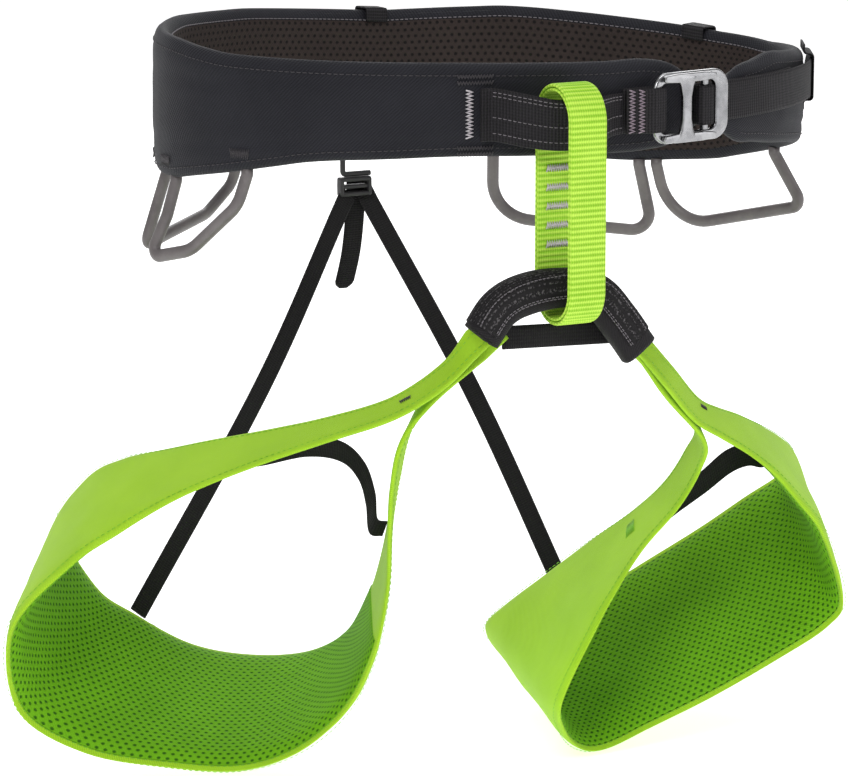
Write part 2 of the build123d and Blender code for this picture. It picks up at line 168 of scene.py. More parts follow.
LEFT_LEG = [
    ((37, -112, -95), (30, -116, -101)),
    ((52, -104, -108), (43, -113, -114)),
    ((70, -94, -124), (60, -109, -131)),
    ((84, -86, -131), (75, -107, -140)),
    ((102, -76, -138), (90, -106, -149)),
    ((126, -60, -149), (103, -107, -159)),
    ((149, -41, -161), (115, -109, -172)),
    ((165, -23, -173), (130, -107, -190)),
    ((168, -9, -187), (150, -93, -225)),
    ((153, -1, -199), (148, -82, -241)),
    ((134, 7, -213), (126, -72, -257)),
    ((111, 16, -228), (100, -63, -272)),
    ((90, 23, -241), (72, -57, -284)),
    ((65, 32, -254), (50, -52, -293)),
    ((45, 36, -261), (34, -54, -290)),
    ((32, 31, -255), (20, -63, -277)),
    ((29, 20, -243), (11, -76, -258)),
    ((44, -1, -221), (22, -86, -224)),
    ((54, -19, -205), (32, -87, -208)),
    ((66, -45, -184), (48, -84, -191)),
    ((72, -62, -168), (62, -90, -173)),
    ((75, -74, -152), (68, -98, -155)),
    ((73, -85, -139), (65, -105, -142)),
    ((54, -98, -117), (45, -107, -121)),
    ((38, -106, -100), (31, -110, -104)),
]
# where the two ends of each band go on to, inside the sleeve: upper edge then front edge
SLEEVE_ENTRY = {
    "right": (((-48, -117, -76), (-38, -119, -81)), ((-45, -114, -79), (-36, -116, -85))),
    "left": (((28, -116, -87), (19, -119, -92)), ((29, -113, -91), (20, -116, -95))),
}
# stations, first and last station of the padding
LEGS = {"right": (RIGHT_LEG, 6, 16), "left": (LEFT_LEG, 5, 18)}

# elastic strap inside each leg loop: its two edges
ELASTICS = {
    "right": (
        [(-126.3, -50.6, -130.6), (-124, -50, -135), (-105, -60, -131), (-90, -68, -133),
         (-81, -72, -142), (-77, -74, -155), (-77, -76, -166), (-73, -78, -167.7)],
        [(-132.5, -43.5, -133.5), (-122, -42, -146), (-101, -57, -141), (-88, -64, -143),
         (-81, -67, -151), (-78, -68, -162), (-77, -69, -174), (-72.2, -71.5, -175.4)],
    ),
    "left": (
        [(132.6, -51, -160.8), (131, -50, -162), (118, -55, -158), (108, -55, -160),
         (98, -50, -170), (86, -42, -182), (73, -39, -193), (65, -39.2, -190)],
        [(141.2, -45.2, -169.3), (136, -42, -173), (125, -48, -170), (115, -49, -172),
         (105, -44, -181), (94, -37, -191), (78, -32, -203), (62, -31, -197)],
    ),
}

# top, middle and bottom of each elastic riser
RISERS = {
    "right": [(-5, CLIP_Y - 1, -61), (-61, 70, -137), (-139, 35.5, -226)],
    "left": [(9, CLIP_Y + 1, -61), (48, 70, -151), (79, 34, -246)],
}
RISER_WIDTH = 9


# ---------------------------------------------------------------- material nodes

class Nodes:
    """Small builder of one procedural material."""

    def __init__(self, name, roughness, metallic=0.0, sheen=0.0, gloss=0.2):
        self.material = bpy.data.materials.new(name)
        self.material.use_nodes = True
        self.tree = self.material.node_tree
        self.shader = self.tree.nodes["Principled BSDF"]
        self.shader.inputs["Roughness"].default_value = roughness
        self.shader.inputs["Metallic"].default_value = metallic
        self.shader.inputs["Sheen Weight"].default_value = sheen
        self.shader.inputs["Specular IOR Level"].default_value = gloss
        self.shader.inputs["Sheen Roughness"].default_value = 0.5
        self.place = self.tree.nodes.new("ShaderNodeTexCoord").outputs["Object"]

    def link(self, value, socket):
        if isinstance(value, (int, float, tuple)):
            socket.default_value = value
        else:
            self.tree.links.new(value, socket)

    def math(self, operation, *values):
        node = self.tree.nodes.new("ShaderNodeMath")
        node.operation = operation
        for value, socket in zip(values, node.inputs):
            self.link(value, socket)
        return node.outputs[0]

    def cloth_place(self):
        """Distance along and across the cloth, in metres."""
        node = self.tree.nodes.new("ShaderNodeUVMap")
        node.uv_map = CLOTH
        parts = self.tree.nodes.new("ShaderNodeSeparateXYZ")
        self.tree.links.new(node.outputs[0], parts.inputs[0])
        return parts.outputs[0], parts.outputs[1]

    def noise(self, scale, detail=3.0, rough=0.6):
        node = self.tree.nodes.new("ShaderNodeTexNoise")
        node.inputs["Scale"].default_value = scale
        node.inputs["Detail"].default_value = detail
        node.inputs["Roughness"].default_value = rough
        self.link(self.place, node.inputs["Vector"])
        return node.outputs["Fac"]

    def stretch(self, value, low, high, to_low=0.0, to_high=1.0):
        node = self.tree.nodes.new("ShaderNodeMapRange")
        for number, socket in zip((low, high, to_low, to_high), node.inputs[1:5]):
            socket.default_value = number
        self.link(value, node.inputs[0])
        return node.outputs[0]

    def wave(self, value, pitch):
        """From 0 to 1 and back once for every pitch, in metres."""
        turn = self.math("MULTIPLY", value, 2 * math.pi / pitch)
        return self.math("MULTIPLY_ADD", self.math("SINE", turn), 0.5, 0.5)

    def blend(self, share, first, second):
        node = self.tree.nodes.new("ShaderNodeMix")
        node.data_type = "RGBA"
        self.link(share, node.inputs[0])
        self.link(first if not isinstance(first, tuple) else (*first, 1.0), node.inputs[6])
        self.link(second if not isinstance(second, tuple) else (*second, 1.0), node.inputs[7])
        return node.outputs[2]

    def finish(self, colour, height, depth, roughness=None):
        self.link(colour, self.shader.inputs["Base Color"])
        if roughness is not None:
            self.link(roughness, self.shader.inputs["Roughness"])
        bump = self.tree.nodes.new("ShaderNodeBump")
        bump.inputs["Distance"].default_value = depth
        bump.inputs["Strength"].default_value = 1.0
        self.link(height, bump.inputs["Height"])
        self.tree.links.new(bump.outputs[0], self.shader.inputs["Normal"])
        return self.material


def webbing_material(name, light, dark, pitch, yarn=0.0011, depth=0.0004, roughness=0.62):
    """Woven webbing: ribs across its length, each made of short warp yarns."""
    n = Nodes(name, roughness)
    along, across = n.cloth_place()
    rib = n.wave(along, pitch)
    warp = n.wave(n.math("ADD", across, n.math("MULTIPLY", rib, yarn * 0.25)), yarn)
    height = n.math("ADD", n.math("MULTIPLY", rib, 0.65), n.math("MULTIPLY", warp, 0.35))
    fuzz = n.noise(2600, 2.0)
    height = n.math("ADD", height, n.math("MULTIPLY", fuzz, 0.35))
    worn = n.stretch(n.noise(45, 4.0), 0.35, 0.7, -0.12, 0.14)
    share = n.math("ADD", n.stretch(height, 0.25, 1.1), worn)
    colour = n.blend(share, dark, light)
    return n.finish(colour, height, depth, n.stretch(fuzz, 0.2, 0.8, roughness - 0.1, roughness + 0.12))


def twill_material(name, light, dark, pitch, depth=0.00018, roughness=0.72, sheen=0.06):
    """Fine fabric with diagonal ribs."""
    n = Nodes(name, roughness, sheen=sheen)
    along, across = n.cloth_place()
    diagonal = n.wave(n.math("ADD", along, n.math("MULTIPLY", across, 0.8)), pitch)
    thread = n.wave(n.math("SUBTRACT", across, n.math("MULTIPLY", along, 0.2)), pitch * 0.55)
    fuzz = n.noise(1800, 2.0)
    height = n.math("ADD", n.math("MULTIPLY", diagonal, 0.6), n.math("MULTIPLY", thread, 0.25))
    height = n.math("ADD", height, n.math("MULTIPLY", fuzz, 0.4))
    tone = n.stretch(n.noise(28, 4.0), 0.3, 0.72, -0.22, 0.22)
    colour = n.blend(n.math("ADD", n.stretch(height, 0.2, 1.1), tone), dark, light)
    return n.finish(colour, height, depth, n.stretch(fuzz, 0.2, 0.8, roughness - 0.08, roughness + 0.14))


def mesh_material(name, face, hole, pitch, depth=0.0007, roughness=0.75):
    """Spacer mesh: staggered rows of small openings in a knitted face."""
    n = Nodes(name, roughness)
    along, across = n.cloth_place()
    row = n.math("DIVIDE", across, pitch * 0.62)
    row_number = n.math("FLOOR", row)
    shift = n.math("MULTIPLY", n.math("MODULO", row_number, 2.0), 0.5)
    cell_u = n.math("SUBTRACT", n.math("FRACT", n.math("ADD", n.math("DIVIDE", along, pitch), shift)), 0.5)
    cell_v = n.math("MULTIPLY", n.math("SUBTRACT", n.math("SUBTRACT", row, row_number), 0.5), 0.85)
    square_u = n.math("MULTIPLY", cell_u, cell_u)
    square_v = n.math("MULTIPLY", cell_v, cell_v)
    away = n.math("SQRT", n.math("ADD", square_u, square_v))
    face_share = n.stretch(away, 0.13, 0.27)
    knit = n.wave(n.math("ADD", across, along), pitch * 0.33)
    fuzz = n.noise(1500, 2.0)
    height = n.math("ADD", n.math("MULTIPLY", face_share, 0.8), n.math("MULTIPLY", knit, 0.15))
    height = n.math("ADD", height, n.math("MULTIPLY", fuzz, 0.15))
    tone = n.stretch(n.noise(24, 3.0), 0.3, 0.7, 0.78, 1.0)
    colour = n.blend(n.math("MULTIPLY", face_share, tone), hole, face)
    return n.finish(colour, height, depth)


def speckle_material(name, light, dark):
    """Abrasion fabric: short broken yarns across the width."""
    n = Nodes(name, 0.7)
    along, across = n.cloth_place()
    rows = n.wave(across, 0.0016)
    broken = n.noise(900, 2.0)
    height = n.math("MULTIPLY", rows, n.stretch(broken, 0.4, 0.6))
    fleck = n.stretch(n.math("ADD", height, n.math("MULTIPLY", n.wave(along, 0.0021), 0.25)), 0.55, 1.1)
    return n.finish(n.blend(fleck, dark, light), height, 0.0005)


def plastic_material(name, light, dark, roughness=0.45):
    """Moulded plastic: slight flow marks, scuffs and a fine grain."""
    n = Nodes(name, roughness, gloss=0.45)
    flow = n.noise(60, 4.0)
    grain = n.noise(2200, 2.0)
    scuff = n.stretch(n.noise(240, 5.0, 0.8), 0.56, 0.7)
    colour = n.blend(n.math("ADD", n.stretch(flow, 0.3, 0.7), n.math("MULTIPLY", scuff, 0.3)), dark, light)
    height = n.math("ADD", grain, n.math("MULTIPLY", flow, 0.6))
    return n.finish(colour, height, 0.00006, n.stretch(scuff, 0.0, 1.0, roughness, roughness + 0.2))


def metal_material(name, light, dark):
    """Forged aluminium: satin faces with fine scratches."""
    n = Nodes(name, 0.26, metallic=1.0, gloss=0.5)
    cloud = n.noise(90, 4.0)
    scratch = n.noise(3200, 3.0, 0.7)
    colour = n.blend(n.stretch(cloud, 0.3, 0.7), dark, light)
    return n.finish(colour, scratch, 0.000012, n.stretch(cloud, 0.3, 0.7, 0.2, 0.34))


def thread_material(name, light, dark):
    """Twisted sewing thread."""
    n = Nodes(name, 0.55, sheen=0.1)
    twist = n.noise(3500, 2.0)
    return n.finish(n.blend(n.stretch(twist, 0.3, 0.7), dark, light), twist, 0.00008)


def stage_material(name, colour, glow):
    n = Nodes(name, 0.9)
    n.shader.inputs["Emission Color"].default_value = (1.0, 1.0, 1.0, 1.0)
    n.shader.inputs["Emission Strength"].default_value = glow
    tone = n.stretch(n.noise(3.0, 2.0), 0.3, 0.7)
    shade = tuple(part * 0.985 for part in colour)
    return n.finish(n.blend(tone, shade, colour), n.noise(40, 2.0), 0.00002)


MATERIALS = {
    "twill_black": twill_material("twill_black", (0.019, 0.019, 0.025), (0.007, 0.007, 0.010), 0.0016),
    "mesh_black": mesh_material("mesh_black", (0.030, 0.021, 0.019), (0.0045, 0.003, 0.003), 0.0036),
    "foam": speckle_material("foam", (0.16, 0.16, 0.16), (0.08, 0.08, 0.08)),
    "webbing_black": webbing_material("webbing_black", (0.020, 0.018, 0.021), (0.0035, 0.003, 0.0038), 0.0014,
                                      yarn=0.0012, depth=0.0003),
    "sleeve_black": speckle_material("sleeve_black", (0.105, 0.098, 0.103), (0.010, 0.009, 0.010)),
    "sleeve_plain": twill_material("sleeve_plain", (0.016, 0.014, 0.016), (0.007, 0.006, 0.007), 0.0012),
    "webbing_green": webbing_material("webbing_green", (0.56, 0.82, 0.10), (0.22, 0.50, 0.016),
                                      RIB_PITCH * MM,
                                      yarn=0.0011, depth=0.0002),
    "fabric_green": twill_material("fabric_green", (0.41, 0.70, 0.028), (0.28, 0.53, 0.013), 0.0009,
                                   depth=0.00012, roughness=0.66),
    "mesh_green": mesh_material("mesh_green", (0.165, 0.45, 0.006), (0.030, 0.13, 0.002), 0.0034),
    "gear_plastic": plastic_material("gear_plastic", (0.150, 0.135, 0.135), (0.095, 0.083, 0.085), 0.42),
    "buckle_metal": metal_material("buckle_metal", (0.42, 0.42, 0.43), (0.2, 0.2, 0.21)),
    "clip_plastic": plastic_material("clip_plastic", (0.022, 0.021, 0.022), (0.010, 0.010, 0.011), 0.5),
    "thread_light": thread_material("thread_light", (0.72, 0.68, 0.71), (0.40, 0.36, 0.39)),
    "thread_mauve": thread_material("thread_mauve", (0.42, 0.34, 0.40), (0.20, 0.15, 0.19)),
    "thread_dark": thread_material("thread_dark", (0.075, 0.068, 0.075), (0.022, 0.02, 0.023)),
    "thread_grey": thread_material("thread_grey", (0.24, 0.22, 0.24), (0.10, 0.09, 0.10)),
    "thread_green": thread_material("thread_green", (0.30, 0.66, 0.05), (0.12, 0.38, 0.012)),
    "elastic_black": webbing_material("elastic_black", (0.013, 0.012, 0.013), (0.0045, 0.004, 0.0045), 0.0011,
                                      yarn=0.0016, depth=0.0002, roughness=0.7),
}


# ---------------------------------------------------------------- mesh making

class Piece:
    """A mesh that grows loft by loft. Its points are in millimetres in the row frame."""

    def __init__(self, name):
        self.name = name
        self.points = []
        self.faces = []
        self.corners = []

    def face(self, indices, places):
        self.faces.append(indices)
        self.corners.extend(places)

    def loft(self, rings, across, closed=False):
        """Skin through rings of points; across holds each point's place over the width, closing one last."""
        base = len(self.points)
        size = len(rings[0])
        far = 0.0
        distances = []
        for i, ring in enumerate(rings):
            if i:
                far += (sum(ring, Vector()) / size - sum(rings[i - 1], Vector()) / size).length
            distances.append(far)
            self.points.extend(ring)
        spans = len(rings) if closed else len(rings) - 1
        for i in range(spans):
            j = (i + 1) % len(rings)
            u0 = distances[i]
            u1 = distances[j] if j else far + (rings[0][0] - rings[-1][0]).length
            for k in range(size):
                m = (k + 1) % size
                v0, v1 = across[k], across[k + 1]
                self.face((base + i * size + k, base + i * size + m,
                           base + j * size + m, base + j * size + k),
                          ((u0, v0), (u0, v1), (u1, v1), (u1, v0)))
        if not closed:
            last = base + (len(rings) - 1) * size
            self.face(tuple(base + k for k in reversed(range(size))),
                      [(0.0, across[k]) for k in reversed(range(size))])
            self.face(tuple(last + k for k in range(size)), [(far, across[k]) for k in range(size)])

    def strip(self, edge_a, edge_b, outer, inner, roundness=8, count=8, relief=None, closed=False):
        """Closed band between two edges; outer and inner are offsets along across times along."""
        width = sum((b - a).length for a, b in zip(edge_a, edge_b)) / len(edge_a)
        normals = strip_normals(edge_a, edge_b, closed)
        rings = []
        for i, (a, b, normal) in enumerate(zip(edge_a, edge_b, normals)):
            high = outer[i] if isinstance(outer, list) else outer
            low = inner[i] if isinstance(inner, list) else inner
            ring = []
            for k in range(2 * count):
                side = 1 if k <= count else -1
                step = k / count if side > 0 else (2 * count - k) / count
                share = 0.5 - 0.5 * math.cos(math.pi * step)
                swell = math.sqrt(max(0.0, 1 - abs(2 * share - 1) ** roundness))
                offset = (high + low) / 2 + side * swell * (high - low) / 2
                if relief:
                    offset += relief(i, share, side) * swell
                ring.append(a.lerp(b, share) + normal * offset)
            rings.append(ring)
        across = []
        for k in range(2 * count + 1):
            step = k / count if k <= count else (2 * count - k) / count
            across.append((0.5 - 0.5 * math.cos(math.pi * step)) * width)
        self.loft(rings, across, closed)

    def tube(self, points, radius, sides=10, closed=False, flat=1.0, up=None):
        """Round or oval bar along a route; radius is a number or one for each point."""
        rings = []
        count = len(points)
        side = None
        for i, point in enumerate(points):
            before = points[i - 1] if i or closed else points[0]
            after = points[(i + 1) % count] if i + 1 < count or closed else points[-1]
            along = (after - before).normalized()
            if side is None:
                side = (up if up else along.orthogonal()).cross(along).normalized()
            side = (side - along * side.dot(along)).normalized()
            third = along.cross(side)
            size = radius[i] if isinstance(radius, list) else radius
            ring = []
            for k in range(sides):
                turn = 2 * math.pi * k / sides
                ring.append(point + side * (size * math.cos(turn)) + third * (size * flat * math.sin(turn)))
            rings.append(ring)
        size = radius[0] if isinstance(radius, list) else radius
        self.loft(rings, [2 * math.pi * max(size, 0.1) * k / sides for k in range(sides + 1)], closed)

    def rod(self, start, end, widths, thickness, face_normal, rounding=4, sides=20):
        """Straight bar of rounded section whose width may change along it; its ends are domed."""
        along = (end - start).normalized()
        length = (end - start).length
        across_dir = face_normal.cross(along).normalized()
        rings = []
        stops = [0.0, 0.012, 0.04] + [k / 12 for k in range(1, 12)] + [0.96, 0.988, 1.0]
        for share in stops:
            near_end = min(share, 1 - share) * length
            dome = min(1.0, 0.55 + 0.45 * math.sqrt(min(1.0, near_end / 0.8)))
            place = share * (len(widths) - 1)
            low = min(int(place), len(widths) - 2)
            width = widths[low] + (widths[low + 1] - widths[low]) * (place - low)
            ring = []
            for k in range(sides):
                turn = 2 * math.pi * k / sides
                c, s = math.cos(turn), math.sin(turn)
                x = math.copysign(abs(c) ** (2 / rounding), c) * width / 2 * dome
                y = math.copysign(abs(s) ** (2 / rounding), s) * thickness / 2 * dome
                ring.append(start.lerp(end, share) + across_dir * x + face_normal * y)
            rings.append(ring)
        self.loft(rings, [k * 0.6 for k in range(sides + 1)])

    def stitches(self, points, normals, pitch=3.0, length=2.1, radius=0.22):
        """Row of single stitches that lie along a route on a surface."""
        far = 0.0
        target = pitch / 2
        for i in range(len(points) - 1):
            step = points[i + 1] - points[i]
            run = step.length
            while run > 0 and target <= far + run:
                middle = points[i].lerp(points[i + 1], (target - far) / run)
                along = step / run
                half = along * (length / 2)
                lift = normals[i] * radius
                dip = normals[i] * (-0.6 * radius)
                self.tube([middle - half + dip, middle - half * 0.6 + lift, middle + half * 0.6 + lift,
                           middle + half + dip], [radius * 0.6, radius, radius, radius * 0.6], sides=5)
                target += pitch
            far += run

    def zigzag(self, centre, along, across, length, width, pitch, radius=0.3):
        """Bar tack: one thread that goes to and fro over the width."""
        normal = along.cross(across).normalized()
        count = max(2, round(length / pitch))
        points = []
        for k in range(count * 2 + 1):
            side = 1 if k % 2 else -1
            place = centre + along * (length * (k / (count * 2) - 0.5)) + across * (side * width / 2)
            points.append(place - normal * radius * 0.6)
            if k < count * 2:
                middle = centre + along * (length * ((k + 0.5) / (count * 2) - 0.5))
                points.append(middle + normal * radius * 0.7)
        self.tube(points, radius, sides=5)

    def build(self, body, material, replaces=(), slot=None, smooth=True):
        mesh = bpy.data.meshes.new(self.name)
        mesh.from_pydata([p * MM for p in self.points], [], self.faces)
        layer = mesh.uv_layers.new(name=CLOTH)
        for place, corner in zip(layer.uv, self.corners):
            place.vector = (corner[0] * MM, corner[1] * MM)
        if smooth:
            mesh.polygons.foreach_set("use_smooth", [True] * len(mesh.polygons))
        mesh.validate()
        mesh.update()
        piece = bpy.data.objects.new(self.name, mesh)
        bpy.context.scene.collection.objects.link(piece)
        mesh.materials.append(MATERIALS[material])
        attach(piece, body)
        if replaces:
            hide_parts(*replaces)
        return piece


def strip_normals(edge_a, edge_b, closed=False):
    """Normal of a strip at each station, which is across times along."""
    count = len(edge_a)
    normals = []
    for i in range(count):
        before = i - 1 if i or closed else 0
        after = (i + 1) % count if i + 1 < count or closed else count - 1
        along = (edge_a[after] + edge_b[after]) - (edge_a[before] + edge_b[before])
        normals.append((edge_b[i] - edge_a[i]).cross(along).normalized())
    return normals


def smooth_route(points, steps):
    """Catmull-Rom curve through points."""
    ends = [points[0] * 2 - points[1]] + points + [points[-1] * 2 - points[-2]]
    curve = []
    for p0, p1, p2, p3 in zip(ends, ends[1:], ends[2:], ends[3:]):
        for step in range(steps):
            t = step / steps
            bend = (p0 * 2 - p1 * 5 + p2 * 4 - p3) * t * t
            twist = (p1 * 3 - p0 - p2 * 3 + p3) * t * t * t
            curve.append((p1 * 2 + (p2 - p0) * t + bend + twist) * 0.5)
    return curve + [points[-1]]


def rounded_route(points, radii, steps=8):
    """Straight runs joined by arcs."""
    route = [points[0]]
    for before, corner, after, radius in zip(points, points[1:], points[2:], radii):
        into = (before - corner).normalized()
        out = (after - corner).normalized()
        half = into.angle(out) / 2
        reach = radius / math.tan(half)
        centre = corner + (into + out).normalized() * (radius / math.sin(half))
        start = corner + into * reach - centre
        end = corner + out * reach - centre
        for k in range(steps + 1):
            route.append(centre + start.normalized().slerp(end.normalized(), k / steps) * radius)
    return route + [points[-1]]


def divided(points, step):
    """The same route with no run longer than step."""
    route = []
    for a, b in zip(points, points[1:]):
        count = max(1, math.ceil((b - a).length / step))
        route += [a.lerp(b, k / count) for k in range(count)]
    return route + [points[-1]]


def soft_step(value, low, high):
    share = min(1.0, max(0.0, (value - low) / (high - low)))
    return share * share * (3 - 2 * share)


def wobble(point, size, seed):
    """Gentle hand-made unevenness, from -1 to 1, the same in every run."""
    return noise.noise(point / size + Vector((seed, seed * 1.7, seed * 0.3)))


# ---------------------------------------------------------------- waist belt

def belt_heights(angle):
    for low, high in zip(BELT_EDGES, BELT_EDGES[1:]):
        if low[0] <= angle <= high[0]:
            share = (angle - low[0]) / (high[0] - low[0])
            return low[1] + share * (high[1] - low[1]), low[2] + share * (high[2] - low[2])
    raise ValueError(angle)


def belt_point(angle, offset, height):
    turn = math.radians(angle)
    x = BELT_CENTRE_X + (BELT_HALF_WIDTH + offset) * math.cos(turn)
    y = (BELT_HALF_DEPTH + offset) * math.sin(turn)
    return Vector((x, y, height))


def belt_axes(angle):
    """Direction along the belt, and outward from it."""
    turn = math.radians(angle)
    along = Vector((-BELT_HALF_WIDTH * math.sin(turn), BELT_HALF_DEPTH * math.cos(turn), 0)).normalized()
    return along, Vector((along.y, -along.x, 0))


def belt_angles(start, end, step):
    count = max(2, round((end - start) / step))
    return [start + (end - start) * k / count for k in range(count + 1)]


def belt_edges(start, end, heights, steps=6):
    """Upper and lower edge of a band on the belt, and the angle of each of their points."""
    angles = belt_angles(start, end, BELT_STATION)
    upper = [belt_point(t, 0, heights(t)[0]) for t in angles]
    lower = [belt_point(t, 0, heights(t)[1]) for t in angles]
    count = (len(angles) - 1) * steps
    fine = [start + (end - start) * k / count for k in range(count + 1)]
    return smooth_route(upper, steps), smooth_route(lower, steps), fine


def make_belt():
    upper, lower, angles = belt_edges(BELT_START, BELT_END, belt_heights)
    ends = [soft_step(min(t - BELT_START, BELT_END - t), 0, 14) for t in angles]
    inner = [-4.5 - (BELT_DEPTH - 4.5) * share for share in ends]

    def relief(i, share, side):
        if side < 0:
            return 0.0
        top, bottom = upper[i].z, lower[i].z
        height = top + (bottom - top) * share
        middle = (top + bottom) / 2
        inside = soft_step(angles[i], LOAD_START, LOAD_START + 4)
        inside *= 1 - soft_step(angles[i], LOAD_END - 4, LOAD_END)
        band = 1 - soft_step(abs(height - middle), LOAD_HALF_WIDTH - 1.2, LOAD_HALF_WIDTH + 0.8)
        groove = math.exp(-((abs(height - middle) - LOAD_HALF_WIDTH - 1.2) / 1.1) ** 2)
        hem = math.exp(-((top - height - 5.0) / 0.8) ** 2) + math.exp(-((height - bottom - 4.0) / 0.8) ** 2)
        place = belt_point(angles[i], 0, height)
        uneven = wobble(place, 26, 3) * 0.45 + wobble(place, 9, 8) * 0.12
        return inside * (0.45 * band - 0.35 * groove) - 0.35 * hem + uneven

    shell = Piece("belt_shell")
    shell.strip(upper, lower, 0.0, inner, roundness=9, count=26, relief=relief)
    piece = shell.build("waist_belt", "twill_black", ["belt_cover"])
    make_belt_liner()
    make_belt_stitching(upper, lower)


def make_belt_liner():
    def panel(angle):
        top, bottom = belt_heights(angle)
        inset = min(5.0, (top - bottom) * 0.2)
        return top - inset, bottom + inset

    upper, lower, angles = belt_edges(BELT_START + 3, BELT_END - 3, panel)
    ends = [soft_step(min(t - BELT_START, BELT_END - t), 0, 14) for t in angles]
    inner = [-5.2 - (BELT_DEPTH - 4.5) * share for share in ends]
    outer = [offset + 1.8 for offset in inner]

    def relief(i, share, side):
        place = belt_point(angles[i], 0, upper[i].z + (lower[i].z - upper[i].z) * share)
        return wobble(place, 22, 5) * 0.3

    liner = Piece("belt_liner")
    liner.strip(upper, lower, outer, inner, roundness=14, count=18, relief=relief)
    liner.build("waist_belt", "mesh_black", ["belt_mesh_liner"])


def make_belt_stitching(upper, lower):
    thread = Piece("belt_hem_stitching")
    normals = strip_normals(upper, lower)
    for edge, other, inset in ((upper, lower, 5.0), (lower, upper, 4.0)):
        points = []
        for a, b, normal in zip(edge, other, normals):
            toward = (b - a).normalized()
            points.append(a + toward * inset + normal * -0.42)
        thread.stitches(points[6:-6], normals[6:-6], pitch=2.6, length=1.7, radius=0.2)
    thread.build("waist_belt", "thread_dark")
    inside = Piece("belt_liner_stitching")
    points = []
    for a, b, normal in zip(upper, lower, normals):
        points.append(a + (b - a).normalized() * 4.4 - normal * 7.95)
    inside.stitches(points[30:-30], [-n for n in normals[30:-30]], pitch=2.4, length=1.6, radius=0.22)
    inside.build("waist_belt", "thread_grey", slot="thread_dark")


def make_edge_tab(name, start, end):
    """Tape folded over the belt's upper edge."""
    section = [(0.75, -5), (0.75, 0.2), (0.2, 1.0), (-8.5, 1.0), (-9.1, 0.2), (-9.1, -5)]
    route = []
    for angle in belt_angles(start, end, 1):
        top = belt_heights(angle)[0]
        corners = [belt_point(angle, offset, top + rise) for offset, rise in section]
        route.append(divided(rounded_route(corners, [0.5, 0.5, 0.5, 0.5], 3), 2.5))
    tape = Piece(name)
    count = min(len(line) for line in route)
    tape.strip(route[0][:count], route[-1][:count], 0.45, -0.45, roundness=12, count=8)
    tape.build("waist_belt", "webbing_black", [name])


def make_waist_bar_tacks():
    light = Piece("waist_bar_tacks_light")
    for angle in (247, 249.5):
        along, outward = belt_axes(angle)
        light.zigzag(belt_point(angle, 0, 6) + outward * 0.95, Vector((0, 0, 1)), along, 20, 3.1, 1.55, 0.33)
    light.build("waist_belt", "thread_light", ["waist_bartacks_light"])
    dark = Piece("waist_bar_tacks_dark")
    for height in (21.5, 18.9, -8.2, -10.8):
        along, outward = belt_axes(248)
        dark.zigzag(belt_point(248, 0, height) + outward * 0.5, along, Vector((0, 0, -1)), 15, 1.6, 1.3, 0.26)
    for start, end, *_ in GEAR_LOOPS.values():
        for angle in (start, end):
            along, outward = belt_axes(angle)
            centre = belt_point(angle, 0, belt_heights(angle)[1] + 7.5) + outward * 0.35
            dark.zigzag(centre, along, Vector((0, 0, -1)), 9, 4.0, 1.0, 0.24)
    dark.build("waist_belt", "thread_dark", ["waist_bartacks_dark"])


# ---------------------------------------------------------------- gear loops

def make_gear_loop(name):
    start_angle, end_angle, corners, radii = GEAR_LOOPS[name]
    start = belt_point(start_angle, HEM_OFFSET, belt_heights(start_angle)[1] - GEAR_END_GAP)
    end = belt_point(end_angle, HEM_OFFSET, belt_heights(end_angle)[1] - GEAR_END_GAP)
    along = (end - start).normalized()
    outward = Vector((0, 0, 1)).cross(along).normalized()
    if outward.dot(start - Vector((BELT_CENTRE_X, 0, 0))) < 0:
        outward = -outward
    tilt = math.radians(GEAR_TILT)
    down = Vector((0, 0, -math.cos(tilt))) + outward * math.sin(tilt)
    points = [start] + [start + along * s + down * d for s, d in corners] + [end]
    rise = Vector((0, 0, 2.6))
    route = [points[0] + rise] + divided(rounded_route(points, radii, 12), 2.0) + [points[-1] + rise]
    loop = Piece("gear_loop_" + name + "_tube")
    loop.tube(route, GEAR_RADIUS, sides=20, flat=0.86, up=along.cross(down))
    loop.build("gear_loop_" + name, "gear_plastic", ["gear_loop_" + name])


# ---------------------------------------------------------------- belay loop and tie-in points

def stadium(rib_steps):
    """Middle of the belay loop's outer face, with a whole number of ribs round it."""
    radius = (BELAY_REAR_Y - BELAY_FRONT_Y) / 2
    middle = (BELAY_REAR_Y + BELAY_FRONT_Y) / 2
    straight = BELAY_TOP_Z - BELAY_BOTTOM_Z - 2 * radius
    length = 2 * straight + 2 * math.pi * radius
    count = round(length / RIB_PITCH) * rib_steps
    points = []
    for k in range(count):
        far = length * k / count
        if far < straight:
            y, z = BELAY_FRONT_Y, BELAY_BOTTOM_Z + radius + far
        elif far < straight + math.pi * radius:
            turn = (far - straight) / radius
            y, z = middle - radius * math.cos(turn), BELAY_TOP_Z - radius + radius * math.sin(turn)
        elif far < 2 * straight + math.pi * radius:
            y, z = BELAY_REAR_Y, BELAY_TOP_Z - radius - (far - straight - math.pi * radius)
        else:
            turn = (far - 2 * straight - math.pi * radius) / radius
            y, z = middle + radius * math.cos(turn), BELAY_BOTTOM_Z + radius - radius * math.sin(turn)
        points.append(Vector((BELAY_X, y, z)))
    return points


